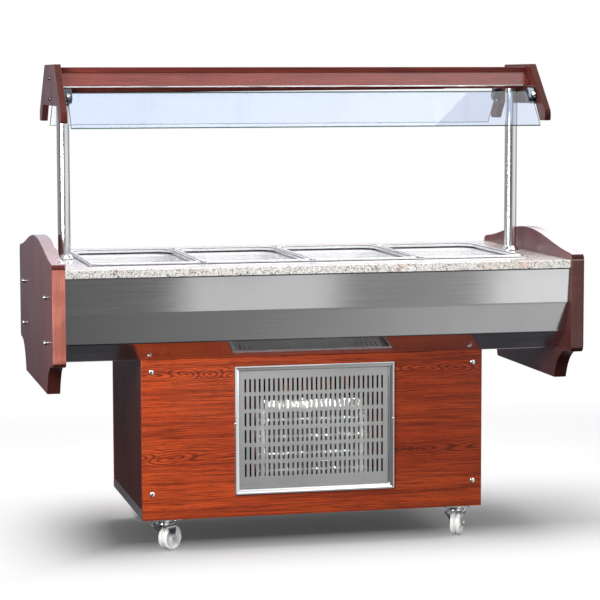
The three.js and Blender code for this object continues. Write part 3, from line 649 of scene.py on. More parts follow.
def set_room():
    """A white backdrop, and a darker room with a bright ceiling for light and reflections."""
    world = bpy.data.worlds.new("room")
    bpy.context.scene.world = world
    world.use_nodes = True
    g = Graph(world.node_tree)
    x, y, z = g.axes(g.node("ShaderNodeTexCoord").outputs["Generated"])
    # In front and below: darker on the left, brighter on the right. Straight down it is nearly black.
    slant = g.math("DIVIDE", x, g.most(g.times(y, -1), 0.05))
    front = g.plus(g.fit(slant, 0.12, 0.55, 0.16, 0.72), g.fit(slant, 0.6, 0.9, 0, 0.1))
    front = g.times(front, g.fit(z, -0.95, -0.75))
    low_left = g.most(g.fit(z, -0.7, -0.45, 0.72, 1), g.fit(slant, 0.36, 0.46, 0.72, 1))
    front = g.times(front, low_left)
    rear = g.plus(g.fit(z, -0.15, -0.115, 0.05, 0.21), g.fit(z, -0.115, 0.02, 0, 0.21))
    rear = g.plus(rear, g.fit(z, 0.03, 0.09, 0, 0.22))
    # Behind and below: bright enough for the steel to read as steel from the back.
    steepness = g.math("DIVIDE", y, g.most(g.times(z, -1), 0.05))
    low_band = g.times(g.fit(steepness, 0.5, 0.62, 0, 0.38), g.fit(z, -0.3, -0.2, 1, 0))
    rear = g.plus(rear, low_band)
    rear = g.rgb(rear, g.times(rear, 0.94), g.times(rear, 1.08))
    level = g.mix(g.fit(y, -0.15, 0.15), g.rgb(front, front, front), rear)
    ceiling = g.fit(z, 0.15, 0.75)
    path = g.node("ShaderNodeLightPath")
    zenith = g.fit(x, 0.12, 0.33, 0.6, 3.5)
    zenith = g.math("MINIMUM", zenith, g.fit(path.outputs["Is Diffuse Ray"], 0, 1, 9, 0.9))
    grey = g.mix(ceiling, level, g.rgb(zenith, zenith, zenith))
    direct = g.most(path.outputs["Is Camera Ray"], path.outputs["Is Transmission Ray"])
    sky = g.mix(direct, grey, (1, 1, 1))
    # Matt surfaces see a dimmer room that is a little brighter on the left.
    dim = g.fit(x, -0.7, 0.7, 0.5, 0.08)
    strength = g.fit(path.outputs["Is Diffuse Ray"], 0, 1, 1, dim)
    back = g.node("ShaderNodeBackground", {"Color": sky, "Strength": strength})
    output = g.node("ShaderNodeOutputWorld")
    g.put(output.inputs["Surface"], back.outputs[0])


def softbox(name, place, target, width, height, watts, unseen_by):
    """A rectangular lamp aimed at a target. One kind of ray doesn't see it."""
    data = bpy.data.lights.new(name, "AREA")
    data.shape = "RECTANGLE"
    data.size = width
    data.size_y = height
    data.energy = watts
    lamp = bpy.data.objects.new(name, data)
    lamp.location = place
    lamp.rotation_euler = (Vector(target) - Vector(place)).to_track_quat("-Z", "Y").to_euler()
    setattr(lamp, f"visible_{unseen_by}", False)
    show(lamp)
    return lamp


def lights_only(lamp, names, state):
    """Limits a light to some pieces, or keeps it off them."""
    group = bpy.data.collections.new(lamp.name + "_receivers")
    for name in names:
        group.objects.link(bpy.data.objects[name])
    for row in group.collection_objects:
        row.light_linking.link_state = state
    lamp.light_linking.receiver_collection = group


set_camera()
set_floor()
set_room()
softbox("overhead", (-0.1, 0.1, 4.2), (0, 0, 0.5), 3.4, 3, 220, "glossy")
machine_light = softbox("machine_light", (-0.366, -1.79, 0.61), (0, -0.27, 0.358), 0.33, 0.24, 1.1, "glossy")
machine_light.data.spread = math.radians(4)
key = softbox("key", (-1.65, -1.75, 1.3), (-0.4, 0, 0.55), 1, 1, 61, "transmission")
softbox("middle_card", (0.2, -2.2, 0.33), (0.05, 0, 0.45), 0.6, 0.45, 0.55, "diffuse")
softbox("right_card", (1.5, -2.2, 0.33), (0.9, 0, 0.45), 0.75, 0.45, 0.8, "diffuse")
bpy.context.scene.view_settings.view_transform = "Standard"


# ---------------- CAD sizes repeated here
CABINET_X, CABINET_Y, CABINET_LOW, CABINET_TOP = 0.519, 0.29, 0.101, 0.5767
BOARD = 0.018
GRILLE_X, GRILLE_LOW, GRILLE_HIGH, GRILLE_BORDER = 0.244, 0.166, 0.55, 0.016
SLOT_COLUMNS, SLOT_ROWS, SLOT_PITCH, ROW_PITCH = 30, 6, 0.0144, 0.0505
PANEL_INNER, PANEL_THICK = 0.754, 0.039
WORKTOP_LOW, WORKTOP_HIGH, WORKTOP_Y, WORKTOP_X = 0.829, 0.853, 0.415, 0.7537
PAN_PITCH, PAN_X, PAN_Y = 0.33, 0.1625, 0.265
PAN_CENTRES = [(i - 1.5) * PAN_PITCH for i in range(4)]
FRAME_HIGH = 0.856
POST_X = 0.703
GABLE_INNER, GABLE_THICK = 0.7223, 0.019
ROOF_LOW, ROOF_HIGH, ROOF_Y, ROOF_X = 1.4095, 1.426, 0.083, 0.722
FASCIA_LOW, FASCIA_THICK = 1.371, 0.016
LAMP_Z = 1.381
PIVOT_Y, PIVOT_Z, TILT_DEGREES = 0.17, 1.345, 42
COIL_X, COIL_LOW, COIL_HIGH, COIL_FRONT, COIL_BACK = 0.158, 0.185, 0.44, -0.258, -0.2
TRAIL, WHEEL_R = 0.028, 0.0375
# Corner, place of the swivel axis and heading in degrees.
CASTERS = [
    ("front_left", -0.45, -0.248, 40),
    ("front_right", 0.45, -0.248, 63),
    ("rear_left", -0.45, 0.248, 52),
    ("rear_right", 0.45, 0.248, 75),
]


def move(x, y, z):
    return Matrix.Translation((x, y, z))


def spin(degrees, axis):
    return Matrix.Rotation(math.radians(degrees), 4, axis)


# ---------------- fixings
def cross_head():
    """A pan-head screw with a cross recess, standing on local Z."""
    shape = bmesh.new()
    turned(shape, [(0, -0.5), (6.2, -0.5), (6.2, 0.3), (5.9, 1.2), (5, 2), (3.6, 2.6), (1.8, 2.9), (0, 3)],
           Z_WAY, 28)
    head = from_bmesh("screw_head", shape)
    shape = bmesh.new()
    block(shape, (-0.0033, -0.00055, 0.0012), (0.0033, 0.00055, 0.004))
    block(shape, (-0.00055, -0.0033, 0.0011), (0.00055, 0.0033, 0.0041))
    cross = from_bmesh("screw_cross", shape)
    for each in (head, cross):
        show(each)
    carve = head.modifiers.new("cross", "BOOLEAN")
    carve.operation = "DIFFERENCE"
    carve.solver = "EXACT"
    carve.use_self = True
    carve.object = cross
    mesh = baked_mesh(head)
    bpy.data.objects.remove(cross)
    return mesh


def turned_mesh(name, profile, segments):
    shape = bmesh.new()
    turned(shape, profile, Z_WAY, segments)
    return from_bmesh(name, shape).data


def copies(name, mesh, places, look):
    """One piece made of copies of a small mesh, each placed by a matrix."""
    shape = bmesh.new()
    for place in places:
        start = len(shape.verts)
        shape.from_mesh(mesh)
        shape.verts.ensure_lookup_table()
        bmesh.ops.transform(shape, matrix=place, verts=shape.verts[start:])
    solid(name, shape, look, "polished_steel")


def facing(direction, place, degrees=0, size=1):
    """A matrix that turns local Z to a direction at a place, with a turn about it and a size."""
    turn = Vector(direction).to_track_quat("Z", "Y").to_matrix().to_4x4()
    return Matrix.Translation(place) @ turn @ spin(degrees, "Z") @ Matrix.Scale(size, 4)


SCREW = cross_head()
DOME = turned_mesh("dome", [(0, -0.5), (7.8, -0.5), (7.8, 0.8), (7, 2.2), (5.4, 4), (3.4, 5.2), (1.4, 5.7),
                            (0, 5.8)], 28)
CAP_NUT = turned_mesh("cap_nut", [(0, -0.5), (6.8, -0.5), (7, 0.5), (7, 5), (6.6, 7), (5.7, 8.8), (4.2, 10.1),
                                  (2.2, 10.8), (0, 11)], 32)

screw_spots = [(-0.49, 0.54, 12), (-0.49, 0.179, 40), (0.49, 0.54, 65), (0.49, 0.179, 28)]
for side, sign in FRONT_REAR:
    places = [facing((0, sign, 0), (x, sign * CABINET_Y, z), degrees, 1.3) for x, z, degrees in screw_spots]
    copies(f"cabinet_screws_{side}", SCREW, places, CHROME)
for side, sign in LEFT_RIGHT:
    outside = sign * (PANEL_INNER + PANEL_THICK)
    places = [facing((sign, 0, 0), (outside, y, z)) for y in (-0.284, 0.284) for z in (0.7655, 0.6347)]
    copies(f"panel_nuts_{side}", CAP_NUT, places, NUT_CHROME)
    outside = sign * (GABLE_INNER + GABLE_THICK)
    places = [facing((sign, 0, 0), (outside, 0.005, z)) for z in (1.3946, 1.3337)]
    copies(f"gable_bolts_{side}", DOME, places, DARK_CHROME)


# ---------------- cabinet
def cabinet():
    hole_x = GRILLE_X - GRILLE_BORDER + 0.004
    hole = rectangle(-hole_x, GRILLE_LOW + 0.012, hole_x, GRILLE_HIGH - 0.012)
    outline = rectangle(-CABINET_X, CABINET_LOW, CABINET_X, CABINET_TOP)
    panel = sheet("front_board", [outline, hole], CABINET_Y - BOARD, CABINET_Y, 0.0012, Y_WAY)
    finish_piece(panel, FRONT_WOOD, "wood", node="front_panel")
    depth = CABINET_Y - BOARD - 0.0003
    outline = rectangle(-depth, 0.1293, depth, CABINET_TOP)
    for side, sign in LEFT_RIGHT:
        low, high = span(sign, CABINET_X - BOARD, CABINET_X)
        board = sheet(f"side_board_{side}", [outline], low, high, 0.001, X_WAY)
        finish_piece(board, DARK_WOOD, "dark_wood", node=f"side_panel_{side}")


def grille():
    """Perforated steel sheet with round-ended slots, in a mitred moulding of four bars."""
    middle = (GRILLE_LOW + GRILLE_HIGH) / 2 + 0.0055
    half_slot = 0.0025
    clear = GRILLE_X - GRILLE_BORDER - 0.0003
    loops = [rectangle(-clear, GRILLE_LOW + GRILLE_BORDER, clear, GRILLE_HIGH - GRILLE_BORDER)]
    for column in range(SLOT_COLUMNS):
        for row in range(SLOT_ROWS):
            u = (column - (SLOT_COLUMNS - 1) / 2) * SLOT_PITCH
            v = middle + (row - (SLOT_ROWS - 1) / 2) * ROW_PITCH
            loops.append(rounded(half_slot, 0.02, half_slot * 0.98, 4, (u, v)))
    plate = sheet("grille_sheet", loops, 0.282, 0.284, 0.0007, Y_WAY)
    finish_piece(plate, SATIN, "stainless", node="grille_plate")

    # Section of a bar in millimetres: distance in from its outer edge, and height out from the cabinet.
    section = [(0, 0.3), (0, 4.2), (0.8, 5.6), (2.2, 6), (5.2, 6), (6.6, 5.4), (7.6, 4.2), (12.8, 3),
               (14.2, 2.4), (15, 0.8), (15.8, -5.8), (13, -5.8), (12, 0.3)]
    mitre_gap = 0.15
    shape = bmesh.new()
    half_z = (GRILLE_HIGH - GRILLE_LOW) / 2
    centre = (GRILLE_HIGH + GRILLE_LOW) / 2
    for i in range(4):
        along, across = (half_z, GRILLE_X) if i % 2 else (GRILLE_X, half_z)
        place = Y_WAY @ move(0, centre, CABINET_Y) @ spin(90 * i, "Z")
        ends = []
        for way in (-1, 1):
            bar = [(way * (along - (inset + mitre_gap) * MM), inset * MM - across, out * MM)
                   for inset, out in section]
            ends.append([place @ Vector(point) for point in bar])
        loft(shape, ends)
    solid("grille_moulding", shape, POLISHED, "stainless", smooth=50, node="grille_frame")
    places = [facing((0, -1, 0), (sx * 0.2405, -CABINET_Y - 0.0052, 0.379), 20 * sx, 0.72) for sx in (-1, 1)]
    copies("grille_screws", SCREW, places, CHROME)


cabinet()
grille()


# ---------------- end panels, gables, canopy and lamp
def edge_faces(piece, bands=()):
    """Gives edge faces the second material, and others where they lean up or down between limits."""
    for face in piece.data.polygons:
        if abs(face.normal[0]) < 0.6:
            face.material_index = 1
            for low, high, other in bands:
                if low < face.normal[2] < high:
                    face.material_index = other


def end_panels():
    # Right half of the outline, from the middle of its foot to the middle of its crest.
    half = [(0, 0.484), (0.275, 0.484)]
    bend(half, (0.305, 0.572), (0.385, 0.577), 12)
    half.append((0.405, 0.577))
    bend(half, (0.425, 0.577), (0.425, 0.599), 8)
    half.append((0.425, 0.851))
    bend(half, (0.425, 0.872), (0.4, 0.873), 8)
    half += bezier(half[-1], (0.25, 0.886), (0.15, 0.926), (0, 0.926), 28)
    for side, sign in LEFT_RIGHT:
        low, high = span(sign, PANEL_INNER, PANEL_INNER + PANEL_THICK)
        panel = sheet(f"end_board_{side}", [mirrored(half)], low, high, 0.0022, X_WAY, 3)
        # Faces that lean down under the shelf, and the shoulder rounding, take the dark wood as painted
        # shade; the flat crest takes a painted highlight.
        bands = [(-1.1, -0.25, 2), (0.12, 0.85, 2), (0.85, 1.1, 3)]
        # On the right panel a narrow band where the rounding meets the flat takes a painted highlight line.
        if side == "right":
            bands.append((0.02, 0.12, 4))
        edge_faces(panel, bands)
        # The right panel's edges take the darker copy: painted shade.
        edge = PANEL_EDGE if side == "left" else SHADED_EDGE_WOOD
        looks = [PANEL_WOOD, edge, DARK_WOOD, LIT_CREST_WOOD, HIGHLIGHT_LINE_WOOD]
        finish_piece(panel, looks, "wood", node=f"end_panel_{side}")


def gables():
    # Right half of the outline, from the middle of the crotch between its legs to the middle of its top.
    half = [(0, 1.313), (0.176, 1.313), (0.214, 1.266)]
    bend(half, (0.2157, 1.264), (0.219, 1.264), 3)
    half.append((0.254, 1.264))
    bend(half, (0.261, 1.264), (0.263, 1.27), 4)
    bend(half, (0.2665, 1.287), (0.258, 1.2986), 8)
    half += [(0.122, 1.4346), (0, 1.4346)]
    for side, sign in LEFT_RIGHT:
        low, high = span(sign, GABLE_INNER, GABLE_INNER + GABLE_THICK)
        gable = sheet(f"gable_board_{side}", [mirrored(half)], low, high, 0.0014, X_WAY)
        edge_faces(gable)
        finish_piece(gable, [GABLE_WOOD, DARK_WOOD], "wood", node=f"gable_{side}")


def canopy():
    boxes("roof_board", [((-ROOF_X, -ROOF_Y, ROOF_LOW), (ROOF_X, ROOF_Y, ROOF_HIGH))], BOARD_WOOD, "wood",
          (0.0012,), node="canopy_roof")
    top = ROOF_LOW - 0.0003
    near = ROOF_Y + 0.001
    far = near + top - FASCIA_LOW
    slant = FASCIA_THICK / math.sqrt(2)
    heel = far - slant
    board = [(near, top), (far, FASCIA_LOW), (heel, FASCIA_LOW - slant), (near - 2 * slant, top)]
    down = Vector((-1, -1)).normalized()
    lip = Vector((1, -1)).normalized() * 0.001
    first = Vector((far, FASCIA_LOW)) + down * 0.0006
    second = first + down * 0.0045
    strip = [first, second, second + lip, first + lip]
    for side, sign in FRONT_REAR:
        shape = bmesh.new()
        prism(shape, [(sign * y, z) for y, z in board], -ROOF_X, ROOF_X)
        solid(f"fascia_board_{side}", shape, BOARD_WOOD, "wood", (0.001,), node=f"fascia_{side}")
        # Bright strip along the lower corner of the sloping board, with a short turned-down end on the left.
        shape = bmesh.new()
        prism(shape, [(sign * y, z) for y, z in strip], -ROOF_X + 0.001, ROOF_X - 0.001)
        y0, y1 = span(sign, far - 0.0015, far + 0.002)
        block(shape, (-0.7205, y0, FASCIA_LOW - 0.019), (-0.718, y1, FASCIA_LOW - 0.001))
        solid(f"trim_strip_{side}", shape, POLISHED, "aluminium", (0.0002, 1))
        # Dark batten behind it that stops the glass, deeper on the left: a dark wedge that paints the shade
        # under the board's cut edge.
        shape = bmesh.new()
        ends = []
        for x, depth in ((-0.712, 0.01), (0.45, 0.0012)):
            corners = ((heel, 0), (heel + 0.006, 0), (heel + 0.006, -depth), (heel, -depth))
            ends.append([(x, sign * y, FASCIA_LOW - slant + 0.0004 + z) for y, z in corners])
        loft(shape, ends)
        solid(f"pane_batten_{side}", shape, DARK_WOOD, "dark_wood", (0.0004, 1))


def lamp():
    """Fluorescent tube with metal end caps in two holders."""
    half = POST_X - 0.078
    tip = half / MM
    tube = [(0, -tip), (12.5, -tip), (13, 1 - tip), (13, tip - 1), (12.5, tip), (0, tip)]
    turnings("lamp_tube_glass", [(tube, move(0, 0, LAMP_Z) @ spin(90, "Y"), 28)], LAMP, "lamp_glass",
             node="lamp_tube")
    caps = bmesh.new()
    holders = bmesh.new()
    section = [(-0.009, 1.368), (0.009, 1.368), (0.014, 1.385), (0.014, 1.4058), (-0.014, 1.4058),
               (-0.014, 1.385)]
    for sign in (-1, 1):
        turned(caps, [(0, -16), (13.3, -16), (13.6, -15), (13.6, 1), (12, 3), (0, 3)],
               move(sign * half, 0, LAMP_Z) @ spin(90 * sign, "Y"), 28)
        prism(holders, section, *span(sign, half + 0.004, half + 0.014))
    solid("lamp_caps", caps, POLISHED, "aluminium")
    solid("lamp_holders", holders, WHITE_MARK, "nylon", (0.0012,))


end_panels()
gables()
canopy()
lamp()


# ---------------- posts, worktop, pan frame and pans
def posts():
    profile = [(17.5, 853.3), (27.2, 853.3), (28, 854.1), (28, 855.8), (27.2, 857.2), (24.5, 860),
               (22.2, 864), (20.4, 865.8), (19.4, 866.6), (19, 867.6), (19, 1408.8), (17.5, 1408.8)]
    for side, sign in LEFT_RIGHT:
        turnings(f"post_tube_{side}", [(profile, move(sign * POST_X, 0, 0), 64)], UPRIGHT, "stainless",
                 smooth=40, node=f"post_{side}")


def worktop():
    cut_x = 2 * PAN_PITCH - 0.006
    cut_y = PAN_Y + 0.001

    def around(gap):
        return rectangle(-cut_x - gap, -cut_y - gap, cut_x + gap, cut_y + gap)

    slab = sheet("stone_top", [rectangle(-WORKTOP_X, -WORKTOP_Y, WORKTOP_X, WORKTOP_Y), around(0)],
                 WORKTOP_LOW, WORKTOP_HIGH, 0.0018, ease_steps=3)
    finish_piece(slab, GRANITE, "granite", node="worktop")

    # Pressed frame: a thin flange with an opening for each pan, and a lip down inside the stone.
    openings = [rounded(PAN_X - 0.007, PAN_Y - 0.007, 0.03, 6, (x, 0)) for x in PAN_CENTRES]
    outer = rounded(cut_x + 0.012, cut_y + 0.01, 0.004, 3)
    flange = sheet("frame_flange", [outer, *openings], WORKTOP_HIGH + 0.0003, FRAME_HIGH, 0.0009)
    finish_piece(flange, POLISHED, "stainless", node="pan_frame")
    lip = sheet("frame_lip", [around(-0.0003), around(-0.002)], WORKTOP_HIGH - 0.02, FRAME_HIGH - 0.001,
                0.0002, ease_steps=1)
    finish_piece(lip, SATIN, "stainless")

    # A black strip round the flange on the stone: a dark piece that paints the shadow gap along the frame's
    # edge.
    shadow_strip = sheet("frame_shadow_strip", [rounded(cut_x + 0.014, cut_y + 0.012, 0.0056, 3),
                                    rounded(cut_x + 0.008, cut_y + 0.006, 0.001, 3)],
                   WORKTOP_HIGH + 0.0001, WORKTOP_HIGH + 0.002, 0.0002, ease_steps=1)
    finish_piece(shadow_strip, BLACK_PLASTIC, "black_plastic")
    # Black strips under the stone's front and rear edges: dark pieces that paint the shadow line between the
    # stone and the hull.
    for side, sign in FRONT_REAR:
        y0, y1 = span(sign, 0.41, 0.413)
        corners = (-WORKTOP_X, y0, WORKTOP_LOW - 0.003), (WORKTOP_X, y1, WORKTOP_LOW - 0.0001)
        boxes(f"worktop_seal_{side}", [corners], BLACK_PLASTIC, "black_plastic", (0.0003, 1))

    # Divider bars between the pans end in small turned-up clips at the front and rear.
    rows = []
    low = FRAME_HIGH - 0.0004
    for x in (-PAN_PITCH, 0, PAN_PITCH):
        rows.append(((x - 0.0016, -PAN_Y, low), (x + 0.0016, PAN_Y, FRAME_HIGH + 0.0026)))
        for sign in (-1, 1):
            y0, y1 = span(sign, PAN_Y + 0.0015, PAN_Y + 0.0085)
            for clip in (x - 0.0055, x + 0.0055):
                rows.append(((clip - 0.002, y0, low), (clip + 0.002, y1, FRAME_HIGH + 0.0036)))
            rows.append(((x - 0.004, y0 + 0.001, low), (x + 0.004, y1 - 0.001, FRAME_HIGH + 0.0014)))
    boxes("pan_dividers", rows, BAR_STEEL, "stainless", (0.0007,))


def pans():
    """Drawn pans: a rolled rim, wide corners, a stacking shoulder, tapered walls and a dished floor."""
    rim = FRAME_HIGH + 0.0003
    # The rim's inner bend and the stacking shoulder take the dark steel: a painted shadow line under the rim.
    shoulder = (4, 5, 7)
    # Distance in from the rim, corner radius and height over the frame, in millimetres.
    levels = [
        (0, 28, 0.2), (0.2, 28, 1.2), (1, 28, 2.2), (2.2, 27, 2.5), (9, 44, 2.4), (10.4, 47, 1.8),
        (11.2, 48, 0.4), (11.4, 48, -6.5), (11.6, 48, -12.5), (12.4, 48, -16), (15, 48, -17.8), (16, 48, -20),
        (20, 50, -83), (21.6, 50, -89), (26.2, 50, -94.5), (33, 52, -97), (42, 52, -97.5),
    ]
    for number, x in enumerate(PAN_CENTRES, 1):
        loops = []
        for inset, radius, height in levels:
            outline = rounded(PAN_X - inset * MM, PAN_Y - inset * MM, radius * MM, 10)
            loops.append([(x + u, v, rim + height * MM) for u, v in outline])
        shape = bmesh.new()
        loft(shape, loops, close_start=False)
        for index, face in enumerate(shape.faces):
            if index // len(loops[0]) in shoulder:
                face.material_index = 1
        pan = from_bmesh(f"pan_shell_{number}", shape)
        thicken(pan, 0.0009)
        looks = [PAN_STEEL, SHADOW_LINE_STEEL]
        finish_piece(pan, looks, "stainless", f"lift_out_pan_{number}", 40, f"pan_{number}")


posts()
worktop()
pans()


# ---------------- steel hull
def hull():
    """Folded sheet with small bend radii, mirrored front to rear."""
    corners = [(-0.412, 0.8287), (-0.405, 0.725), (-0.37, 0.635), (-0.291, 0.577), (0.291, 0.577)]
    path = corners[:1]
    for before, corner, after in zip(corners, corners[1:], corners[2:]):
        middle = Vector(corner)
        start, end = (middle + (Vector(other) - middle).normalized() * 0.004 for other in (before, after))
        path.append(tuple(start))
        bend(path, corner, tuple(end), 5)
    outer = path + [(-y, z) for y, z in reversed(path)]
    end_x = PANEL_INNER - 0.0003
    shape = bmesh.new()
    skin(shape, [[(x, y, z) for y, z in outer] for x in (-end_x, end_x)])
    piece = from_bmesh("hull_sheet", shape)
    thicken(piece, 0.002)
    finish_piece(piece, BRUSHED, "stainless", smooth=60, node="tub_shell")


hull()


# ---------------- glass panes and their clamps
def panes():
    half_x = GABLE_INNER - 0.011
    half_t = 0.0025
    for (side, sign), clear in zip(FRONT_REAR, (FRONT_GLASS, REAR_GLASS)):
        place = move(0, sign * PIVOT_Y, PIVOT_Z) @ spin(sign * TILT_DEGREES, "X")
        shape = bmesh.new()
        block(shape, (-half_x, -half_t, -0.13), (half_x, half_t, 0.008))
        pane = from_bmesh(f"pane_{side}", shape)
        for face in pane.data.polygons:
            if face.normal[2] < -0.5 or abs(face.normal[0]) > 0.5:
                face.material_index = 1
        pane.data.transform(place)
        ease_edges(pane, 0.0018, 1)
        pane.modifiers[-1].material = 1
        finish_piece(pane, [clear, GLASS_EDGE], "glass", f"pane_{side}", 0, f"glass_{side}")
        for end, way in LEFT_RIGHT:
            clamp = place @ move(way * (GABLE_INNER - 0.0123), 0, 0)
            clamp_details(f"{side}_{end}", clamp, f"pane_{side}", sign)


def clamp_details(name, place, body, sign):
    """A ribbed thumb screw through the clamp, with a chrome cap, and a plain screw on the far face."""
    inward = place @ move(0, -sign * 0.012, -0.015) @ spin(90 * sign, "X")
    steps = 40
    rib = 0.0008
    rows = []
    for height, radius in ((0, 0.0086), (0.0012, 0.01), (0.008, 0.01), (0.0092, 0.0086)):
        ring = []
        for i in range(steps):
            a = 2 * math.pi * i / steps
            r = radius - rib * (i % 2)
            ring.append(inward @ Vector((r * math.cos(a), r * math.sin(a), height)))
        rows.append(ring)
    shape = bmesh.new()
    loft(shape, rows)
    solid(f"thumb_knob_{name}", shape, BLACK_PLASTIC, "black_plastic", body=body)
    cap = [(0, 8.8), (4.8, 8.8), (4.8, 9.8), (3.6, 11.2), (0, 11.8)]
    screw = [(0, -30.2), (5, -30.2), (6.2, -29), (6.6, -27), (6.6, -22.8), (0, -22.8)]
    washer = [(0, -2), (7, -2), (7, 1.2), (0, 1.2)]
    rows = [(profile, inward, 20) for profile in (cap, screw, washer)]
    turnings(f"thumb_screw_{name}", rows, CHROME, "polished_steel", body=body)


panes()


# ---------------- casters
def caster_plate(corner, place):
    """Stamped top plate with four bolts, and the upper half of the ball race under it."""
    bolts = [(sx * 0.034, sy * 0.027) for sx, sy in FOUR_WAYS]
    holes = [rounded(0.0052, 0.0034, 0.0033, 4, bolt) for bolt in bolts]
    plate = sheet(f"top_plate_{corner}", [rounded(0.045, 0.038, 0.006, 5), *holes], 0.0982, 0.1007, 0.0006)
    plate.data.transform(place)
    finish_piece(plate, CHROME, "polished_steel", node=f"caster_plate_{corner}")
    rows = [([(5.3, 89), (20, 89), (22.2, 89.8), (23.6, 91.4), (24.2, 93.5), (24.2, 96.5), (25.6, 98.4),
              (5.3, 98.4), (5.3, 89)], place, 40)]
    for x, y in bolts:
        bolt = place @ move(x, y, 0)
        rows.append(([(0, 93.7), (4.2, 93.7), (5.6, 94.8), (5.6, 98.3), (0, 98.3)], bolt, 6))
        rows.append(([(0, 97.3), (7.2, 97.3), (7.4, 98.3), (0, 98.3)], bolt, 20))
    turnings(f"race_{corner}", rows, CHROME, "polished_steel", smooth=35)


FORK_OUT = 0.0203
# Height, middle and half length of the fork's sheet along the trail.
FORK_SIDE = [(0.0375, 0.028, 0.0108), (0.05, 0.02, 0.0105), (0.066, 0.008, 0.0165), (0.078, 0.001, 0.0222),
             (0.09, 0, 0.024)]
FORK_FOOT = FORK_SIDE[0][2]


def fork_side(z):
    """Middle and half length of the fork's sheet along the trail, at a height."""
    drop = WHEEL_R - z
    if drop > 0:
        return TRAIL, math.sqrt(max(FORK_FOOT ** 2 - drop ** 2, 1e-8))
    for (z0, m0, h0), (z1, m1, h1) in zip(FORK_SIDE, FORK_SIDE[1:]):
        if z <= z1:
            t = (z - z0) / (z1 - z0)
            return m0 + t * (m1 - m0), h0 + t * (h1 - h0)


def fork_arch():
    """Outside of the fork from the front: up one leg, over the crown and down the other."""
    leg = [(FORK_OUT, WHEEL_R - FORK_FOOT * math.cos(math.radians(a))) for a in (2, 20, 40, 60, 80)]
    leg += [(FORK_OUT, 0.042), (FORK_OUT, 0.046)]
    leg += bezier(leg[-1], (FORK_OUT, 0.056), (0.0275, 0.064), (0.0289, 0.074), 10)
    leg += bezier(leg[-1], (0.0297, 0.08), (0.027, 0.084), (0.0205, 0.0842), 8)
    leg += [(0.01, 0.0842), (0, 0.0842)]
    return leg + [(-y, z) for y, z in leg[-2::-1]]


def caster_fork(corner, swivel):
    """Pressed fork: an arch of bent sheet with rounded feet, a ball race dish on top and an axle bolt."""
    columns = 10
    rows = []
    for y, z in fork_arch():
        middle, half = fork_side(z)
        along = [middle + half * (2 * i / columns - 1) for i in range(columns + 1)]
        rows.append([swivel @ Vector((x, y, z)) for x in along])
    shape = bmesh.new()
    skin(shape, rows)
    arch = from_bmesh(f"fork_arch_{corner}", shape, find_outside=False)
    thicken(arch, 0.0024)
    ease_edges(arch, 0.0006, 2, 50)
    body = f"swivel_{corner}"
    finish_piece(arch, CHROME, "polished_steel", body, 50, f"caster_fork_{corner}")
    crown = [(0, 83.2), (22.2, 83.2), (23.4, 84.4), (23, 86.4), (21.2, 88.4), (5, 88.7), (5, 95.8), (0, 95.8)]
    turnings(f"fork_crown_{corner}", [(crown, swivel, 40)], CHROME, "polished_steel", body=body, smooth=35)
    out = FORK_OUT / MM
    rows = []
    for way in (-1, 1):
        axle = swivel @ move(TRAIL, 0, WHEEL_R) @ spin(-90 * way, "X")
        rows += [
            ([(0, out - 3), (7.2, out - 3), (7.2, out + 0.8), (0, out + 0.8)], axle, 24),
            ([(0, out), (5.8, out), (5.8, out + 2), (4.8, out + 3), (0, out + 3)], axle, 6),
            ([(0, 0), (3.8, 0), (3.8, out), (0, out)], axle, 16),
        ]
    turnings(f"axle_bolt_{corner}", rows, CHROME, "polished_steel", body=body, smooth=35)


def caster_wheel(corner, swivel):
    """Twin-rim nylon wheel: two rounded treads with a groove between, a dished web and a hub."""
    half = [(4.3, -15.5), (9, -15.5), (11, -14.9), (12.2, -12.5), (15, -11.3), (25, -11.3), (28, -12.7),
            (29.6, -14.9), (31, -15.5), (34, -15.5), (35.8, -14.7), (37, -12.7), (37.5, -9.7), (37, -4.4),
            (35, -2.8), (31.5, -2.2)]
    profile = half + [(radius, -height) for radius, height in reversed(half)] + half[:1]
    rows = [(profile, swivel @ move(TRAIL, 0, WHEEL_R) @ spin(-90, "X"), 64)]
    turnings(f"wheel_{corner}", rows, NYLON, "nylon", body=f"wheel_{corner}", smooth=40,
             node=f"caster_wheel_{corner}")


for corner, x, y, heading in CASTERS:
    mount = move(x, y, 0)
    swivel = mount @ spin(heading, "Z")
    caster_plate(corner, mount)
    caster_fork(corner, swivel)
    caster_wheel(corner, swivel)

pan_light = softbox("pan_light", (0, -2.4, 1.35), (0, 0.25, 0.82), 2.4, 0.3, 41, "glossy")
top_names = ["stone_top", *[f"pan_shell_{number}" for number in (1, 2, 3, 4)]]
lights_only(pan_light, top_names, "INCLUDE")
lights_only(key, ["floor", *top_names], "EXCLUDE")
wheel_light = softbox("wheel_light", (0.55, -2.3, 0.3), (0, -0.23, 0.05), 0.6, 0.3, 18, "glossy")
lights_only(wheel_light, [f"wheel_{corner}" for corner, _, _, _ in CASTERS], "INCLUDE")


# ---------------- machine compartment
def fins(name, count, half, half_thick, near, far, node):
    """A row of thin plates along X, between two corners in Y and Z."""
    rows = []
    for i in range(count):
        x = -half + i * 2 * half / (count - 1)
        rows.append(((x - half_thick, *near), (x + half_thick, *far)))
    boxes(name, rows, FINS, "aluminium", smooth=0, node=node)


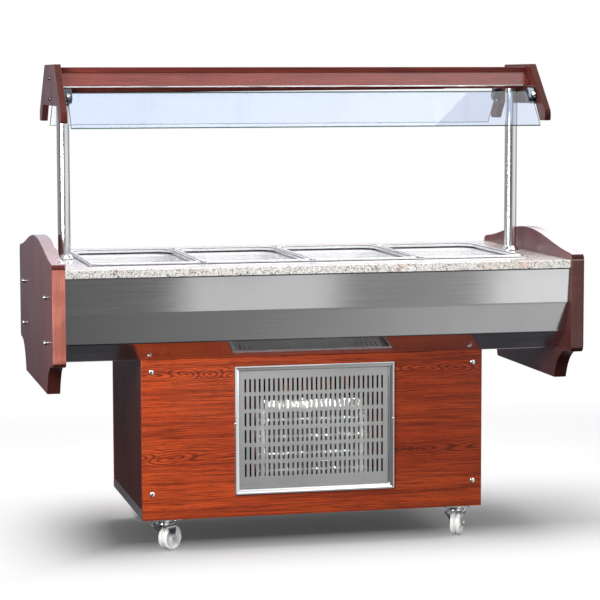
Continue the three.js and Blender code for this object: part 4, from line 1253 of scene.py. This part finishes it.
def condenser():
    """A pack of thin fins between folded end plates, with tube rows and copper return bends at both ends."""
    fins("condenser_fins", 94, COIL_X - 0.009, 0.00018, (COIL_FRONT + 0.006, COIL_LOW + 0.006),
         (COIL_BACK - 0.002, COIL_HIGH - 0.006), "condenser_coil")
    sheet_metal = 0.0015
    rows = []
    for sign in (-1, 1):
        x0, x1 = span(sign, COIL_X - sheet_metal, COIL_X)
        rows.append(((x0, COIL_FRONT, COIL_LOW), (x1, COIL_BACK, COIL_HIGH)))
        x0, x1 = span(sign, COIL_X - 0.013, COIL_X)
        rows.append(((x0, COIL_FRONT, COIL_LOW), (x1, COIL_FRONT + sheet_metal, COIL_HIGH)))
    rows += [
        ((-COIL_X, COIL_FRONT, COIL_HIGH - 0.03), (COIL_X, COIL_FRONT + sheet_metal, COIL_HIGH)),
        ((-COIL_X, COIL_FRONT, COIL_HIGH - sheet_metal), (COIL_X, COIL_BACK, COIL_HIGH)),
        ((-COIL_X, COIL_FRONT, COIL_LOW), (COIL_X, COIL_BACK, COIL_LOW + sheet_metal)),
    ]
    boxes("condenser_plates", rows, ZINC, "galvanised", (0.0004, 1), smooth=0)
    tubes = bmesh.new()
    bends = bmesh.new()
    count = 9
    pitch = 0.0254
    end = COIL_X + 0.004
    for column, y in enumerate((-0.25, -0.226)):
        for row in range(count):
            z = COIL_LOW + 0.018 + row * pitch
            pipe(tubes, [(-end, y, z), (end, y, z)], 0.0042, 8)
            if row + 1 < count:
                sign = -1 if (row + column) % 2 else 1
                middle = (sign * end, y, z + pitch / 2)
                pipe(bends, arc(middle, pitch / 2, -90, 90, 10, (sign, 0, 0), (0, 0, 1)), 0.0046, 8)
    solid("condenser_tubes", tubes, ZINC, "aluminium", smooth=50)
    solid("return_bends", bends, COPPER, "copper", smooth=50)


def evaporator():
    """Fins along the floor of the well on six copper tubes, between two plates."""
    low = 0.69
    end = 0.56
    fins("evaporator_fins", 150, end - 0.004, 0.0002, (-0.09, low + 0.014), (0.09, low + 0.05),
         "evaporator")
    rows = []
    for sign in (-1, 1):
        for far, high in ((end + 0.0015, low + 0.054), (end + 0.016, low + 0.0038)):
            x0, x1 = span(sign, end, far)
            rows.append(((x0, -0.1, low + 0.0023), (x1, 0.1, high)))
    boxes("evaporator_plates", rows, GALVANISED, "galvanised", (0.0004, 1), smooth=0)
    shape = bmesh.new()
    pitch = 0.03
    z = low + 0.032
    tip = end + 0.004
    for row in range(6):
        y = (row - 2.5) * pitch
        pipe(shape, [(-tip, y, z), (tip, y, z)], 0.0048, 10)
        if row < 5:
            sign = -1 if row % 2 else 1
            middle = (sign * tip, y + pitch / 2, z)
            pipe(shape, arc(middle, pitch / 2, -90, 90, 10, (sign, 0, 0), (0, 1, 0)), 0.0048, 10)
    solid("evaporator_tubes", shape, COPPER, "copper", smooth=50)


def compressor_details():
    """A welded seam, a lifting stud and rubber feet with nuts on the compressor."""
    place = move(-0.29, 0.03, 0.1043)
    seam = [(79, 113), (85.8, 114), (86.8, 116), (86.8, 120), (85.8, 122), (79, 123), (79, 113)]
    stud = [(0, 194), (7, 194), (7, 204), (5.5, 206), (0, 206.2)]
    turnings("compressor_seam", [(seam, place, 48), (stud, place, 20)], BLACK_PAINT, "black_paint", smooth=40)
    rubber = [(0, 0.2), (15, 0.2), (15.8, 2), (15.8, 5), (13.8, 7), (15, 9), (15, 14), (0, 14)]
    nut = [(0, 31.8), (7.2, 31.8), (7.2, 36), (0, 36.8)]
    rows = []
    for sx, sy in FOUR_WAYS:
        foot = place @ move(sx * 0.076, sy * 0.058, 0)
        rows += [(rubber, foot, 28), (nut, foot, 6)]
    turnings("compressor_feet", rows, BLACK_PLASTIC, "black_plastic", smooth=40)


# A black mat inside the rear panel, behind its louvres: a dark sheet that paints the shade seen through the
# slots.
inside = CABINET_Y - BOARD
boxes("louvre_shade_mat", [((-0.14, inside - 0.0062, 0.188), (0.14, inside - 0.0006, 0.336))], BLACK_PLASTIC,
      "black_plastic", (0.0012,))
condenser()
evaporator()
compressor_details()


# ---------------- controls at the rear
def control_details():
    face = CABINET_Y + 0.0023
    height = 0.462
    places = [facing((0, 1, 0), (0.35 + sx * 0.062, face, height + sz * 0.042), 30 * sx + 12 * sz, 0.6)
              for sx, sz in FOUR_WAYS]
    copies("control_screws", SCREW, places, CHROME)
    # A scale of seven marks round the thermostat knob, longer towards the cold end.
    rows = []
    for i in range(7):
        turn = move(0.375, face, height) @ spin(45 * i - 225, "Y")
        rows.append(((0.0215, -0.0002, -0.0006), (0.0235 + 0.0006 * i, 0.00025, 0.0006), turn))
    boxes("thermostat_marks", rows, BLACK_PLASTIC, "black_plastic", (0.0001, 1), smooth=0)
    boxes("knob_pointer", [((0.3742, CABINET_Y + 0.0212, 0.4668), (0.3758, CABINET_Y + 0.022, 0.479))],
          WHITE_MARK, "nylon", (0.0002, 1), body="knob", smooth=0)
    centre = (-0.315, height)
    loops = [rounded(0.0105, 0.015, 0.0025, 4, centre), rounded(0.0072, 0.0118, 0.0012, 4, centre)]
    bezel = sheet("switch_bezel", loops, 0, 0.0016, 0.0005, move(0, face, 0) @ spin(180, "Z") @ Y_WAY, 1)
    finish_piece(bezel, BLACK_PLASTIC, "black_plastic")


control_details()


# ---------------- CAD nodes that keep their shape
CLAMPS = [f"clamp_{side}_{end}" for side, _ in FRONT_REAR for end, _ in LEFT_RIGHT]


def dress(look, *names):
    """Puts a finish on CAD nodes that stay as they are."""
    for name in names:
        materials = nodes[name].data.materials
        if not materials:
            materials.append(look)
        for i in range(len(materials)):
            materials[i] = look


def weld_and_ease(width, names):
    for name in names:
        nodes[name].modifiers.new("weld", "WELD").merge_threshold = 0.00001
        ease_edges(nodes[name], width)


dress(FRONT_WOOD, "rear_panel")
dress(GREY_PAINT, "base_tray", "fan_motor")
dress(SATIN, "control_panel", "well_liner")
dress(POLISHED, "drain_valve")
dress(FINS, "condenser_fan")
dress(GALVANISED, "fan_shroud", "lamp_housing")
dress(COPPER, "discharge_line", "filter_drier", "suction_line")
dress(BLACK_PAINT, "compressor")
dress(BLACK_PLASTIC, "power_switch", "thermostat_knob", "power_inlet", "drain_handle")
dress(FOAM, "well_insulation")
dress(DARK_CHROME, *CLAMPS)
weld_and_ease(0.0006, ("rear_panel", "base_tray", "control_panel", "lamp_housing", "well_liner"))
weld_and_ease(0.0005, ("thermostat_knob", "power_switch", "drain_handle", *CLAMPS, "drain_valve", "fan_motor",
                       "compressor", "power_inlet"))
